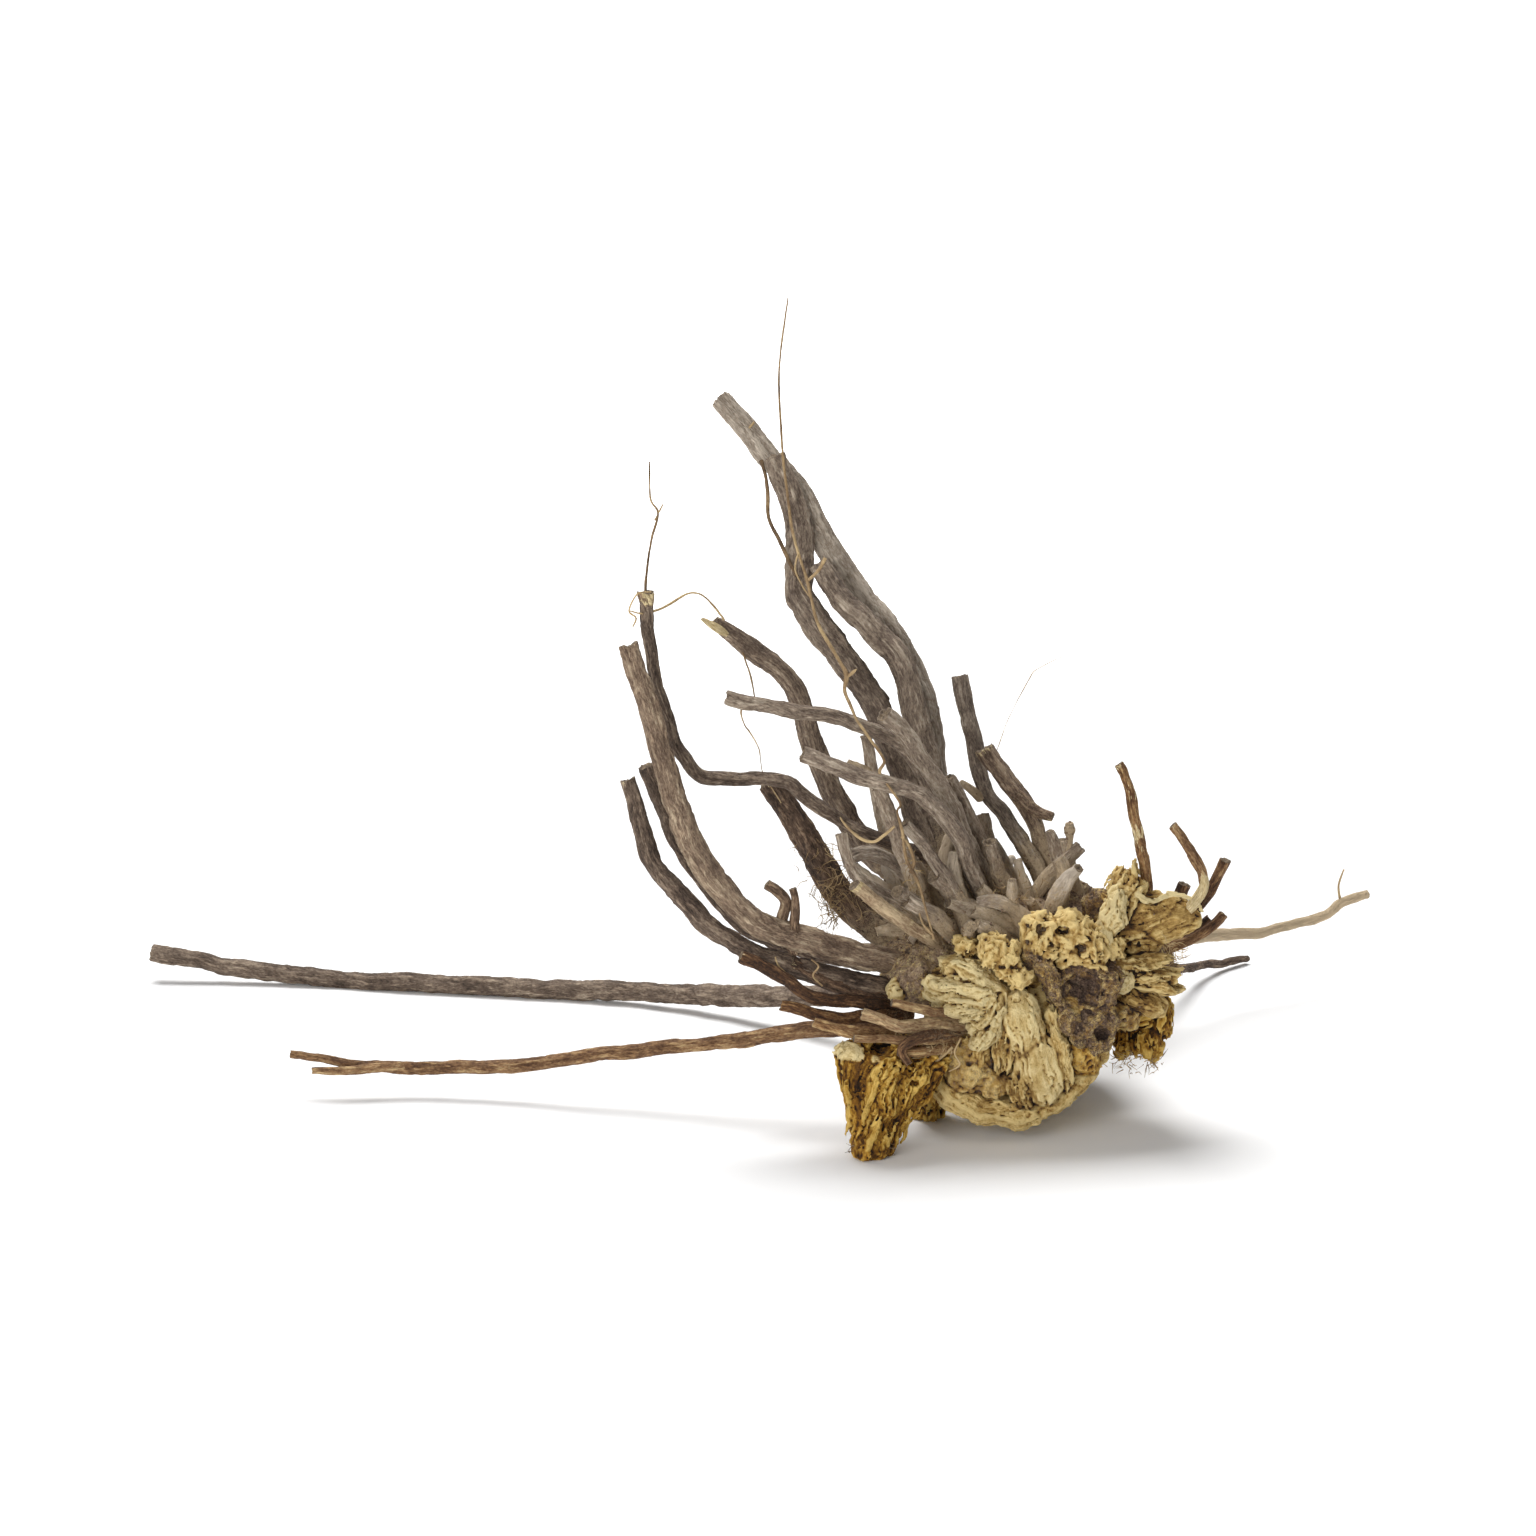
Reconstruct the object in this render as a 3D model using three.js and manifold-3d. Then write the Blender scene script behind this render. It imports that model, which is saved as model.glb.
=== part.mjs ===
// A dried clematis root: one woody crown with its roots, as it lies on a table.
// Millimetres, +Z up. The front of the crown faces -Y, and most roots sweep up and to the left (-X).
// The whole plant part grew as one piece, so it is one solid.

import * as THREE from 'three';
import { mergeVertices } from 'three/addons/utils/BufferGeometryUtils.js';
import Module from 'manifold-3d';

const wasm = await Module();
wasm.setup();

// ---- driving dimensions ----
const THICK = 1.5;          // radius of a thick root where it leaves the crown
const MIDDLE = 1.0;         // radius of a root of middle thickness
const THIN = 0.65;          // radius of a thin root
const HAIR = 0.28;          // radius of the long fine rootlet
const THICK_SIDES = 7;      // faces round a root thicker than MIDDLE
const THIN_SIDES = 5;       // faces round the others
const RINGS_PER_LEG = 2;    // rings between two neighbouring points of a route
const FOOTPRINT_MIDDLE = [-1.3, 31.4];  // middle of the footprint, which becomes the origin

// ---- joining solids ----
function solidOf(geometry) {
  geometry.deleteAttribute('normal');
  geometry.deleteAttribute('uv');
  const merged = mergeVertices(geometry, 1e-5);
  return new wasm.Manifold(new wasm.Mesh({
    numProp: 3,
    vertProperties: new Float32Array(merged.attributes.position.array),
    triVerts: new Uint32Array(merged.index.array),
  }));
}

function geometryOf(solid) {
  const mesh = solid.getMesh();
  const geometry = new THREE.BufferGeometry();
  geometry.setAttribute('position', new THREE.BufferAttribute(mesh.vertProperties, 3));
  geometry.setIndex(new THREE.BufferAttribute(mesh.triVerts, 1));
  geometry.computeVertexNormals();
  return geometry;
}

// ---- a root: a closed round tube through [x, y, z, radius] points, its ends cut square ----
function rootSolid(route) {
  const curve = new THREE.CatmullRomCurve3(
    route.map(([x, y, z]) => new THREE.Vector3(x, y, z)), false, 'centripetal');
  const legs = route.length - 1;
  const rings = legs * RINGS_PER_LEG;
  const sides = Math.max(...route.map((point) => point[3])) > MIDDLE ? THICK_SIDES : THIN_SIDES;
  const across = new THREE.Vector3(0, 1, 0);
  const positions = [];
  const faces = [];

  for (let ring = 0; ring <= rings; ring += 1) {
    const along = ring / rings;
    const leg = Math.min(Math.floor(along * legs), legs - 1);
    const radius = THREE.MathUtils.lerp(route[leg][3], route[leg + 1][3], along * legs - leg);
    const centre = curve.getPoint(along);
    const tangent = curve.getTangent(along);
    const side = new THREE.Vector3().crossVectors(tangent, across).normalize();
    const front = new THREE.Vector3().crossVectors(tangent, side);
    for (let i = 0; i < sides; i += 1) {
      const angle = (2 * Math.PI * i) / sides;
      const point = centre.clone()
        .addScaledVector(side, radius * Math.cos(angle))
        .addScaledVector(front, radius * Math.sin(angle));
      positions.push(point.x, point.y, point.z);
    }
  }
  for (let ring = 0; ring < rings; ring += 1) {
    for (let i = 0; i < sides; i += 1) {
      const a = ring * sides + i;
      const b = ring * sides + (i + 1) % sides;
      faces.push(a, b, b + sides, a, b + sides, a + sides);
    }
  }
  for (let i = 1; i < sides - 1; i += 1) {
    const last = rings * sides;
    faces.push(0, i + 1, i, last, last + i, last + i + 1);
  }

  const geometry = new THREE.BufferGeometry();
  geometry.setAttribute('position', new THREE.Float32BufferAttribute(positions, 3));
  geometry.setIndex(faces);
  return solidOf(geometry);
}

// ---- a lump of the crown: a stretched ball ----
function lumpSolid([x, y, z], [halfX, halfY, halfZ], lean = 0) {
  const ball = new THREE.SphereGeometry(1, 16, 11);
  ball.scale(halfX, halfY, halfZ);
  ball.rotateY(lean);
  ball.translate(x, y, z);
  return solidOf(ball);
}

// ---- a stump: a straight piece with square ends that narrows from its top to its foot ----
function stumpSolid(top, foot, topRadius, footRadius) {
  const from = new THREE.Vector3(...top);
  const to = new THREE.Vector3(...foot);
  const axis = from.clone().sub(to);
  const stump = new THREE.CylinderGeometry(topRadius, footRadius, axis.length(), 12, 2);
  stump.applyQuaternion(new THREE.Quaternion().setFromUnitVectors(
    new THREE.Vector3(0, 1, 0), axis.clone().normalize()));
  const middle = from.add(to).multiplyScalar(0.5);
  stump.translate(middle.x, middle.y, middle.z);
  return solidOf(stump);
}

// ---- the crown: [centre], [half sizes], lean in radians about Y ----
const crownLumps = [
  [[28, 5, 11.2], [10.2, 9, 11.4]],             // round bottom shell that faces forward
  [[24, 1, 17.5], [8.5, 6, 4]],                 // fan of split wood above it
  [[30, 10, 20], [12, 11, 7]],                  // middle of the crown
  [[24, 14, 21.5], [11, 10, 5]],                // shoulder that the upright roots grow from
  [[18, 5, 18], [6, 7, 5]],                     // left shoulder, where the low roots leave
  [[14.4, 0, 16.6], [1.6, 1.6, 1.5]],           // small broken knob on the left shoulder
  [[40, 7, 18], [7.5, 6, 4.6]],                 // ragged lobes at the right
  [[42.5, 5, 23.5], [6.2, 3, 3.8], 0.15],       // wing at the upper right
  [[30, 21, 12], [10, 7, 10]],                  // back of the crown
];

// ---- stumps of old stems: [top], [foot], top radius, foot radius ----
const stumps = [
  [[14.5, -5.5, 13.5], [11, -9.5, -0.5], 5.2, 2.4],    // front stump, which stands on its foot
  [[19.5, 4, 8], [18.5, 6.5, -0.5], 3.4, 2.2],         // dark stump behind it
  [[42.5, 8.5, 16], [42.4, 8, 6.3], 3.6, 3.1],         // fibrous stump that hangs at the right
  [[30, 25, 9], [31, 27.5, -0.5], 4, 3],               // stump under the back
  [[40, 5, 23], [41.5, 4.5, 30], 3, 0.7],              // broken peak of the wing
];

// ---- the roots, each from inside the crown to its tip: [x, y, z, radius] ----
const roots = {
  sweepBig: [[20.5, 10, 16, THICK], [15.5, 3, 19, THICK], [6.5, -2, 22.5, THICK], [-1.5, -4, 26, THICK],
    [-7, -3, 32, 1.45], [-10, -2, 38, 1.4], [-12.5, -2, 47.5, 1.25], [-15.5, -1, 56.5, 1.15]],
  sweepLow: [[19.5, 8, 13.5, 1.3], [13, 1, 16.5, 1.3], [6, -3, 19.5, 1.2], [-3, -4, 23, 1.15],
    [-8.5, -4, 27.5, 1.1], [-13, -3, 33, 1.05], [-15.5, -2, 41.5, 0.95]],
  sweepBehind: [[21, 12, 19, MIDDLE], [11.5, 10, 17.5, MIDDLE], [3.5, 6, 20, MIDDLE],
    [-2.5, 3, 23.5, MIDDLE], [-6.5, 3, 28, MIDDLE], [-10, 3, 33, MIDDLE], [-13.5, 3, 42, 0.95]],
  wavy: [[25, 14, 26, 0.85], [19, 12, 29, 0.85], [11.5, 9, 32.5, 0.8], [4.5, 7, 37, 0.8],
    [1.5, 6, 39.5, 0.8], [-6.5, 5, 40, 0.75], [-9.5, 4, 43, 0.75], [-11.5, 4, 48, 0.75],
    [-13, 4, 54.5, 0.75], [-13.5, 4, 61, 0.8]],
  tornTip: [[18.5, 16, 23, 1.4], [13, 17, 27.5, 1.4], [8, 18, 34, 1.35], [5, 19, 41.5, 1.3],
    [2.5, 18, 48.5, 1.2], [-2.5, 17, 53, 1.1], [-6, 16, 55.5, 0.7]],
  flatLeft: [[25.5, 12, 24, MIDDLE], [21, 8, 34, MIDDLE], [16.5, 6, 42, 0.95], [14, 5, 44.5, 0.9],
    [8, 3, 47.5, 0.85], [3, 2, 48.5, 0.85], [-4.5, 2, 50, 0.8]],
  hooked: [[26.5, 8, 21.5, MIDDLE], [23.5, 5, 28, MIDDLE], [21.5, 2, 34, MIDDLE], [18, 0, 38.5, 0.95],
    [14.5, -1, 40.5, 0.9], [10, -2, 42, 0.9], [4, -2, 44.5, 0.85]],
  elbow: [[26.5, 12, 22, 1.2], [23.5, 8, 29, 1.15], [21, 5, 35.5, 1.1], [18.5, 4, 40.5, 1.05],
    [15.5, 3, 45.5, MIDDLE], [13, 2, 48, MIDDLE]],
  tallBack: [[22, 16, 24.5, 1.75], [20, 20, 29.5, 1.7], [19, 23, 38, 1.65], [18, 25, 44, 1.65],
    [14.5, 28, 51.5, 1.6], [11, 31, 55.5, 1.55], [7, 33, 61.5, 1.5], [3.5, 35, 67.5, 1.4],
    [0, 37, 71, 1.3], [-5.5, 39, 77.5, 1.25]],
  tallRinged: [[20.5, 14, 23.5, 1.6], [17.5, 18, 32, 1.6], [13, 22, 43.5, 1.6], [8, 25, 50.5, 1.6],
    [4, 28, 55.5, 1.6], [3.5, 30, 59, 1.6], [3.5, 32, 64, 1.5], [0.5, 34, 71.5, 1.35]],
  tallTorn: [[21.5, 14, 25, 1.6], [19.5, 18, 32, 1.55], [17.5, 20, 41.5, 1.5], [15.5, 22, 49, 1.5],
    [12, 24, 53, 1.45], [8.5, 26, 56.5, 1.4], [5.5, 28, 60, 1.1]],
  bearded: [[16.5, 10, 19.5, 1.8], [12, 11, 21.5, 1.75], [8, 12, 25, 1.65], [5, 12, 30, 1.6],
    [2.5, 12, 34.5, 1.5], [0, 12, 38, 1.35]],
  knotty: [[19, 7, 23, 0.9], [15, 4, 25.5, 0.85], [11, 1, 29, 0.85], [9, 0, 31.5, 0.75], [8, 0, 35, 0.7]],
  arched: [[19.5, 8, 23.5, MIDDLE], [17, 7, 26.5, MIDDLE], [14.5, 6, 29.5, 0.95], [11.5, 5, 31.5, 0.9],
    [9, 5, 31, 0.85]],
  paleStick: [[20.5, 4, 20.5, 0.95], [18, 0, 23, 0.9], [14, -4, 26.5, 0.85], [9.5, -6, 30.5, 0.8]],
  shortMiddle: [[24.5, 4, 23.5, 0.85], [21, 1, 28, 0.8], [17.5, -1, 33.5, 0.75], [15, -2, 36.5, 0.7]],
  twigLeft: [[3, -3, 22, THIN], [1.5, -3, 25.5, THIN], [2, -3, 28, THIN], [0, -3, 30, 0.6]],
  twigRight: [[3, -3, 22, 0.6], [3, -4, 26, 0.55], [3, -4, 28, 0.5], [2.5, -4, 29.5, 0.45]],
  barePost: [[32, 12, 25, MIDDLE], [30, 14, 29, MIDDLE], [27.5, 17, 32.5, 0.95], [25, 19, 35, 0.95],
    [24, 21, 39.5, 0.95], [22, 23, 48, 0.95]],
  peeled: [[33.5, 14, 26, 0.85], [31.5, 15, 29, 0.9], [30, 16, 33, MIDDLE], [28, 17, 36, 1.15],
    [25, 18, 40.5, 1.2]],
  peeledArm: [[28.5, 16, 35.5, 0.8], [30.5, 15, 34, THIN], [32.5, 14, 33.5, 0.5]],
  steepLong: [[27.5, 12, 24, MIDDLE], [24.5, 10, 30.5, 0.9], [22.5, 8, 35.5, 0.8], [20.5, 7, 39.5, 0.7]],
  steepShort: [[28.5, 9, 24.5, MIDDLE], [26, 7, 29, 0.9], [25, 6, 32.5, 0.8]],
  fishtail: [[35.5, 10, 24, 1.05], [34.5, 11, 28, MIDDLE], [34, 12, 30.5, 1.1], [34, 12, 33, 1.6]],
  leaning: [[30, 8, 25.5, 0.9], [32, 10, 29.5, 0.8], [33, 11, 31.5, 0.7]],
  cracked: [[43, 6, 25, 0.75], [42.5, 4, 29.5, 0.7], [42, 3, 32.5, THIN], [41, 2, 36, THIN],
    [40.5, 2, 39.5, 0.6], [39, 2, 42.5, 0.55]],
  bentPale: [[46.5, 4, 24, 0.6], [48.5, 1, 28, 0.6], [48.5, 0, 30, 0.55], [47, 0, 33, 0.6],
    [45, 0, 36, 0.6]],
  cutRight: [[47, 6, 23, THIN], [50, 6, 27, THIN], [51.5, 6, 30.5, THIN]],
  stubRight: [[41, 8, 20, 0.8], [46, 11.5, 23.5, 0.75], [47.5, 12, 26, 0.75]],
  lowRight: [[43, 7, 19, THIN], [48.5, 6, 21.5, 0.6], [51.5, 6, 24, 0.55]],
  lowRightBack: [[42, 9, 18, THIN], [47.5, 8, 21, 0.55], [50, 8, 23, 0.5]],
  amber: [[16, 3, 14, 0.85], [11, -2, 16, 0.8], [5.5, -6, 17.5, 0.75], [2, -7, 20, 0.75],
    [-3, -8, 23, 0.7]],
  lowUpper: [[16, 2, 13.5, 0.8], [8, -5, 15, 0.75], [3.5, -7, 16.5, 0.7], [1.5, -7, 17, 0.65]],
  lowLower: [[17, 0, 11.5, 0.9], [10, -8, 14, 0.85], [7, -9, 15, 0.75], [5, -9, 15.5, 0.6]],
  lowFront: [[22, -1, 13, 1.2], [15.5, -8, 15, MIDDLE], [12.5, -9, 16, 0.9], [10.5, -9, 16.5, 0.8]],
  underGrey: [[18, 5, 14, 1.1], [12.5, 0, 16, MIDDLE], [7, -3, 18.5, 0.95], [2.5, -4, 21, 0.85]],
  longLeft: [[22.5, 22, 13, 1.4], [15.5, 30, 9, 1.35], [4, 42, 4.5, 1.3], [-14.5, 54, 1.8, 1.25],
    [-40, 60, 1.2, 1.2], [-60, 64, 1.3, 1.15], [-76.5, 66, 3.5, 1.1]],
  longLow: [[21, 6, 10.5, 0.9], [8, 5, 11, 0.9], [-8, 9, 8, 0.85], [-22, 12, 5.5, 0.8],
    [-32, 14, 3.8, 0.8], [-41, 15, 3.5, 0.75], [-48, 15, 4, 0.6], [-55, 15, 5, 0.5]],
  longLowProng: [[-42, 15, 3.6, 0.6], [-48.5, 14, 3.6, 0.5], [-52.5, 14, 3.6, 0.4]],
  longRight: [[34, 22, 15, 0.9], [45.5, 40, 11, 0.8], [53.5, 50, 10, 0.7], [61.5, 56, 9, THIN],
    [68.5, 60, 10, THIN], [71, 61, 11.5, 0.6], [74, 62, 12, 0.55]],
  shortRight: [[34, 24, 11, 0.75], [46.5, 48, 6, THIN], [54, 66, 1.8, 0.55], [60.5, 74, 0.7, 0.45]],
  fineRootlet: [[17, -1, 24, HAIR], [16, 1, 33, HAIR], [13, 2, 41, HAIR], [9, 3, 51, HAIR],
    [4, 6, 61, HAIR], [2, 9, 71, HAIR], [1.3, 12, 82, 0.22], [2.2, 14, 93, 0.18]],
};

// ---- everything is joined into one solid and cut level where it lies on the table ----
function rootAndCrown() {
  let whole = lumpSolid(...crownLumps[0]);
  for (const lump of crownLumps.slice(1)) {
    whole = whole.add(lumpSolid(...lump));
  }
  for (const stump of stumps) {
    whole = whole.add(stumpSolid(...stump));
  }
  for (const route of Object.values(roots)) {
    whole = whole.add(rootSolid(route));
  }
  const below = new THREE.BoxGeometry(400, 400, 20);
  below.translate(0, 0, -10);
  return whole.subtract(solidOf(below));
}

const clematisRoot = new THREE.Mesh(
  geometryOf(rootAndCrown()),
  new THREE.MeshStandardMaterial({ color: 0x8a7358, roughness: 0.9, metalness: 0 }),
);
clematisRoot.name = 'clematis_root';

const part = new THREE.Group();
part.position.set(-FOOTPRINT_MIDDLE[0], -FOOTPRINT_MIDDLE[1], 0);
part.add(clematisRoot);

export default part;
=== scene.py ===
# %% [markdown]
# A dried clematis root is one woody crown, pale and split where old stems broke off, with stiff brown
# roots that all sweep one way. The measured frame gives its place and size. This lesson dresses it: the
# crown is carved by a rule, the roots are tubes on listed routes, and hairs and soil cling to both.

# %% Load the frame
import math

import bpy
import numpy as np
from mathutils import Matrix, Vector


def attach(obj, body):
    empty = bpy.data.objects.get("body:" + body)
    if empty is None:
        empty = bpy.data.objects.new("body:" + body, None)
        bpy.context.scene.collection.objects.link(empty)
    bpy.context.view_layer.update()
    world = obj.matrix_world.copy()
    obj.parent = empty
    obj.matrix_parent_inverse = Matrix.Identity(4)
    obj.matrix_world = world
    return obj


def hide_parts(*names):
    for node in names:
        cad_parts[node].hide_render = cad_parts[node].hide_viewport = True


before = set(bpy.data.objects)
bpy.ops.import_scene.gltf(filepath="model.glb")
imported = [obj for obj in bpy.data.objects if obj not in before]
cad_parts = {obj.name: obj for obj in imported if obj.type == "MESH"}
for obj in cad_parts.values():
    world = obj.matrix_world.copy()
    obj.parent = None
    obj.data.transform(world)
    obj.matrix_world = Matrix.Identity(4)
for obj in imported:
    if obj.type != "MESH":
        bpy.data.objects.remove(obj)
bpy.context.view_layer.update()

# %% [markdown]
# The frame was drawn round the crown, then its origin moved to the middle of the footprint. The same
# shift is used here, so that every route and centre below can stay in plain millimetres.

# %% Units and the shift
MM = 0.001
FOOTPRINT_MIDDLE = Vector((-1.3, 31.4, 0.0))


def place(x, y, z):
    """A point of the drawing, in millimetres, as a point of the frame, in metres."""
    return (Vector((x, y, z)) - FOOTPRINT_MIDDLE) * MM


def new_object(name, data):
    thing = bpy.data.objects.new(name, data)
    bpy.context.scene.collection.objects.link(thing)
    return thing


print("the crown's middle lies at", place(28, 8, 14))

# %% [markdown]
# A camera with a long lens looks at the plant's middle from straight in front and a little above. The
# long lens keeps the near stump and the far roots at nearly the same scale.

# %% Camera
CAMERA_RISE = math.radians(13)
CAMERA_DISTANCE = 0.6
LONG_LENS = 126.5625
AIM = place(0, 0, 42.4)

camera_data = bpy.data.cameras.new("camera")
camera_data.sensor_width = 36.0
camera_data.lens = LONG_LENS
camera_data.clip_start = 0.01
camera = new_object("camera", camera_data)
backwards = Vector((0, -math.cos(CAMERA_RISE), math.sin(CAMERA_RISE)))
camera.location = AIM + CAMERA_DISTANCE * backwards
camera.rotation_euler = (math.pi / 2 - CAMERA_RISE, 0, 0)
bpy.context.scene.camera = camera
print("the camera stands at", camera.location)

# %% [markdown]
# The carved shapes and the finishes are long sums of simple steps. Wiring each by hand would hide the
# idea, so a small class lets a node's output be added and scaled like a number. A wire made in a
# geometry tree carves, and the same wire made in a shader tree paints.

# %% Wires that behave like numbers


def plug(tree, value, slot):
    """Links a wire into a slot, or sets a plain number or vector there."""
    if isinstance(value, Wire):
        tree.links.new(value.socket, slot)
    else:
        slot.default_value = value


def add(tree, kind, slots=(), output=0, **settings):
    """Adds a node, sets its options, fills its slots by order or by name, and gives one output."""
    node = tree.nodes.new(kind)
    for name, value in settings.items():
        setattr(node, name, value)
    ready = [slot for slot in node.inputs if slot.enabled]
    for key, value in slots.items() if isinstance(slots, dict) else enumerate(slots):
        plug(tree, value, ready[key] if isinstance(key, int) else find(ready, key))
    outputs = [socket for socket in node.outputs if socket.enabled]
    return Wire(tree, outputs[output] if isinstance(output, int) else find(outputs, output))


def find(sockets, name):
    return next(socket for socket in sockets if socket.name == name)


def is_vector(value):
    return value.is_vector if isinstance(value, Wire) else isinstance(value, (tuple, Vector))


class Wire:
    """One output of a node. Sums and products of wires make the nodes that work them out."""

    def __init__(self, tree, socket):
        self.tree = tree
        self.socket = socket
        self.is_vector = socket.type in {"VECTOR", "RGBA"}

    def math(self, operation, *others, clamp=False):
        return add(self.tree, "ShaderNodeMath", (self, *others), operation=operation, use_clamp=clamp)

    def vector_math(self, operation, *others):
        return add(self.tree, "ShaderNodeVectorMath", (self, *others), operation=operation)

    def combine(self, operation, other):
        in_vectors = self.is_vector or is_vector(other)
        return self.vector_math(operation, other) if in_vectors else self.math(operation, other)

    def __add__(self, other):
        return self.combine("ADD", other)

    def __sub__(self, other):
        return self.combine("SUBTRACT", other)

    def __mul__(self, other):
        scales = self.is_vector and not is_vector(other)
        return self.vector_math("SCALE", other) if scales else self.combine("MULTIPLY", other)

    def __neg__(self):
        return self * -1.0

    def rest(self):
        """What is missing up to one."""
        return self * -1.0 + 1.0

    def ramp(self, low, high, start=0.0, end=1.0):
        """Goes smoothly from start to end while this value goes from low to high."""
        return add(self.tree, "ShaderNodeMapRange", (self, low, high, start, end),
                   interpolation_type="SMOOTHSTEP")

    def part(self, axis):
        return add(self.tree, "ShaderNodeSeparateXYZ", (self,), axis)


def join_parts(x, y, z):
    """One vector wire from three values, of which the first is a wire."""
    return add(x.tree, "ShaderNodeCombineXYZ", (x, y, z))


def noise(at, scale, detail=3.0, rough=0.55, output="Fac"):
    """Cloudy noise. In a carved solid its scale counts lumps for each millimetre."""
    slots = {"Vector": at, "Scale": scale, "Detail": detail, "Roughness": rough}
    return add(at.tree, "ShaderNodeTexNoise", slots, output)


def drift(at, scale, detail=2.0, rough=0.5):
    """Noise that pushes points about: a vector round nought."""
    return noise(at, scale, detail, rough, "Color") - (0.5, 0.5, 0.5)


def cells(at, scale, feature="F1"):
    """Scattered cells: the distance to the nearest cell's middle or to its edge."""
    return add(at.tree, "ShaderNodeTexVoronoi", {"Vector": at, "Scale": scale}, "Distance", feature=feature)


print("wires are ready")

# %% [markdown]
# The crown is wood that split, rotted and dried, with caves, plates and thin walls. It could be
# sculpted, or a ball pushed in and out along its normals, but pushing makes no overhang. Here it is a
# rule in space that is negative inside the wood: stretched balls and tapering posts, joined by minimums
# and carved by noise.

# %% Shapes as values in space: negative inside, in millimetres


def egg(at, centre, half, lean=0.0):
    """A stretched ball, leaning by an angle about the axis that points away from the camera."""
    offset = at - centre
    if lean:
        offset = add(at.tree, "ShaderNodeVectorRotate", {"Vector": offset, "Angle": -lean},
                     rotation_type="Y_AXIS")
    stretched = offset * tuple(1 / size for size in half)
    return (stretched.vector_math("LENGTH") - 1.0) * (sum(half) / 3)


def post(at, top, foot, top_radius, foot_radius):
    """A round post that narrows from its top to its foot, with round ends."""
    axis = Vector(foot) - Vector(top)
    offset = at - top
    along = offset.vector_math("DOT_PRODUCT", tuple(axis / axis.length_squared))
    along = along.math("ADD", 0.0, clamp=True)
    beside = offset - along * tuple(axis)
    return beside.vector_math("LENGTH") - (along * (foot_radius - top_radius) + top_radius)


print("shapes: egg, post")

# %% [markdown]
# A volume cube asks the rule for its value at every point of a fine grid, and a mesh is laid where the
# value changes sign. The rule also tells how dirty and how golden each spot is. Then the mesh is
# compared with a blurred copy of itself: a spot below the copy is in a hollow, and the finish darkens it
# with dirt and painted shade; a spot above it is raised, and the finish lightens it with wear and
# painted highlight.

# %% Helpers for geometry trees


def new_tree(name, inputs, with_source=False):
    """A geometry tree with named inputs, and the wires that bring them."""
    tree = bpy.data.node_groups.new(name, "GeometryNodeTree")
    if with_source:
        tree.interface.new_socket("Source", in_out="INPUT", socket_type="NodeSocketGeometry")
    for label, value in inputs.items():
        kind = "NodeSocketInt" if isinstance(value, int) else "NodeSocketFloat"
        tree.interface.new_socket(label, in_out="INPUT", socket_type=kind).default_value = value
    tree.interface.new_socket("Geometry", in_out="OUTPUT", socket_type="NodeSocketGeometry")
    node = tree.nodes.new("NodeGroupInput")
    return tree, {socket.name: Wire(tree, socket) for socket in node.outputs if socket.name}


def field(tree, kind, slots=(), output=0, **settings):
    """Adds one node that gives a shape, or a value at every point."""
    return add(tree, "GeometryNode" + kind, slots, output, **settings)


def step(flow, kind, slots=None, **settings):
    """Adds one node that the geometry flows through."""
    return field(flow.tree, kind, {0: flow, **(slots or {})}, **settings)


def keep(flow, name, value):
    """Stores a value on every point under a name, so that the finish can read it."""
    kind = "FLOAT_VECTOR" if value.is_vector else "FLOAT"
    return step(flow, "StoreNamedAttribute", {"Name": name, "Value": value}, data_type=kind)


def kept(tree, name, kind="FLOAT"):
    return field(tree, "InputNamedAttribute", {"Name": name}, data_type=kind)


def close_tree(flow, material):
    """The end of every tree: real faces, smooth, with their material."""
    flow = step(flow, "RealizeInstances")
    flow = step(flow, "SetShadeSmooth")
    flow = step(flow, "SetMaterial", {"Material": material})
    plug(flow.tree, flow, flow.tree.nodes.new("NodeGroupOutput").inputs[0])


def to_metres(flow):
    return step(flow, "Transform", {"Scale": (MM, MM, MM), "Translation": place(0, 0, 0)})


def finished(name, tree, values, source=None):
    """Runs a tree once, keeps the plain mesh, and hands it to the frame with a slot's finish."""
    holder = new_object(name + "_maker", source or bpy.data.meshes.new(name + "_empty"))
    modifier = holder.modifiers.new(name, "NODES")
    modifier.node_group = tree
    for socket in tree.interface.items_tree:
        if socket.name in values:
            modifier[socket.identifier] = values[socket.name]
    seen = bpy.context.evaluated_depsgraph_get()
    mesh = bpy.data.meshes.new_from_object(holder.evaluated_get(seen), depsgraph=seen)
    mesh.name = name
    bpy.data.objects.remove(holder)
    piece = new_object(name, mesh)
    mesh.calc_loop_triangles()
    print(name, "has", len(mesh.loop_triangles), "triangles")
    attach(piece, "root")
    return piece


print("tree helpers are ready")

# %% A tree that carves one piece of wood
CRUMB_POINTS = 900      # loose bits with fewer points than this are swept away
BLURS = (("hollow", 5), ("wide_hollow", 40))


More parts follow.
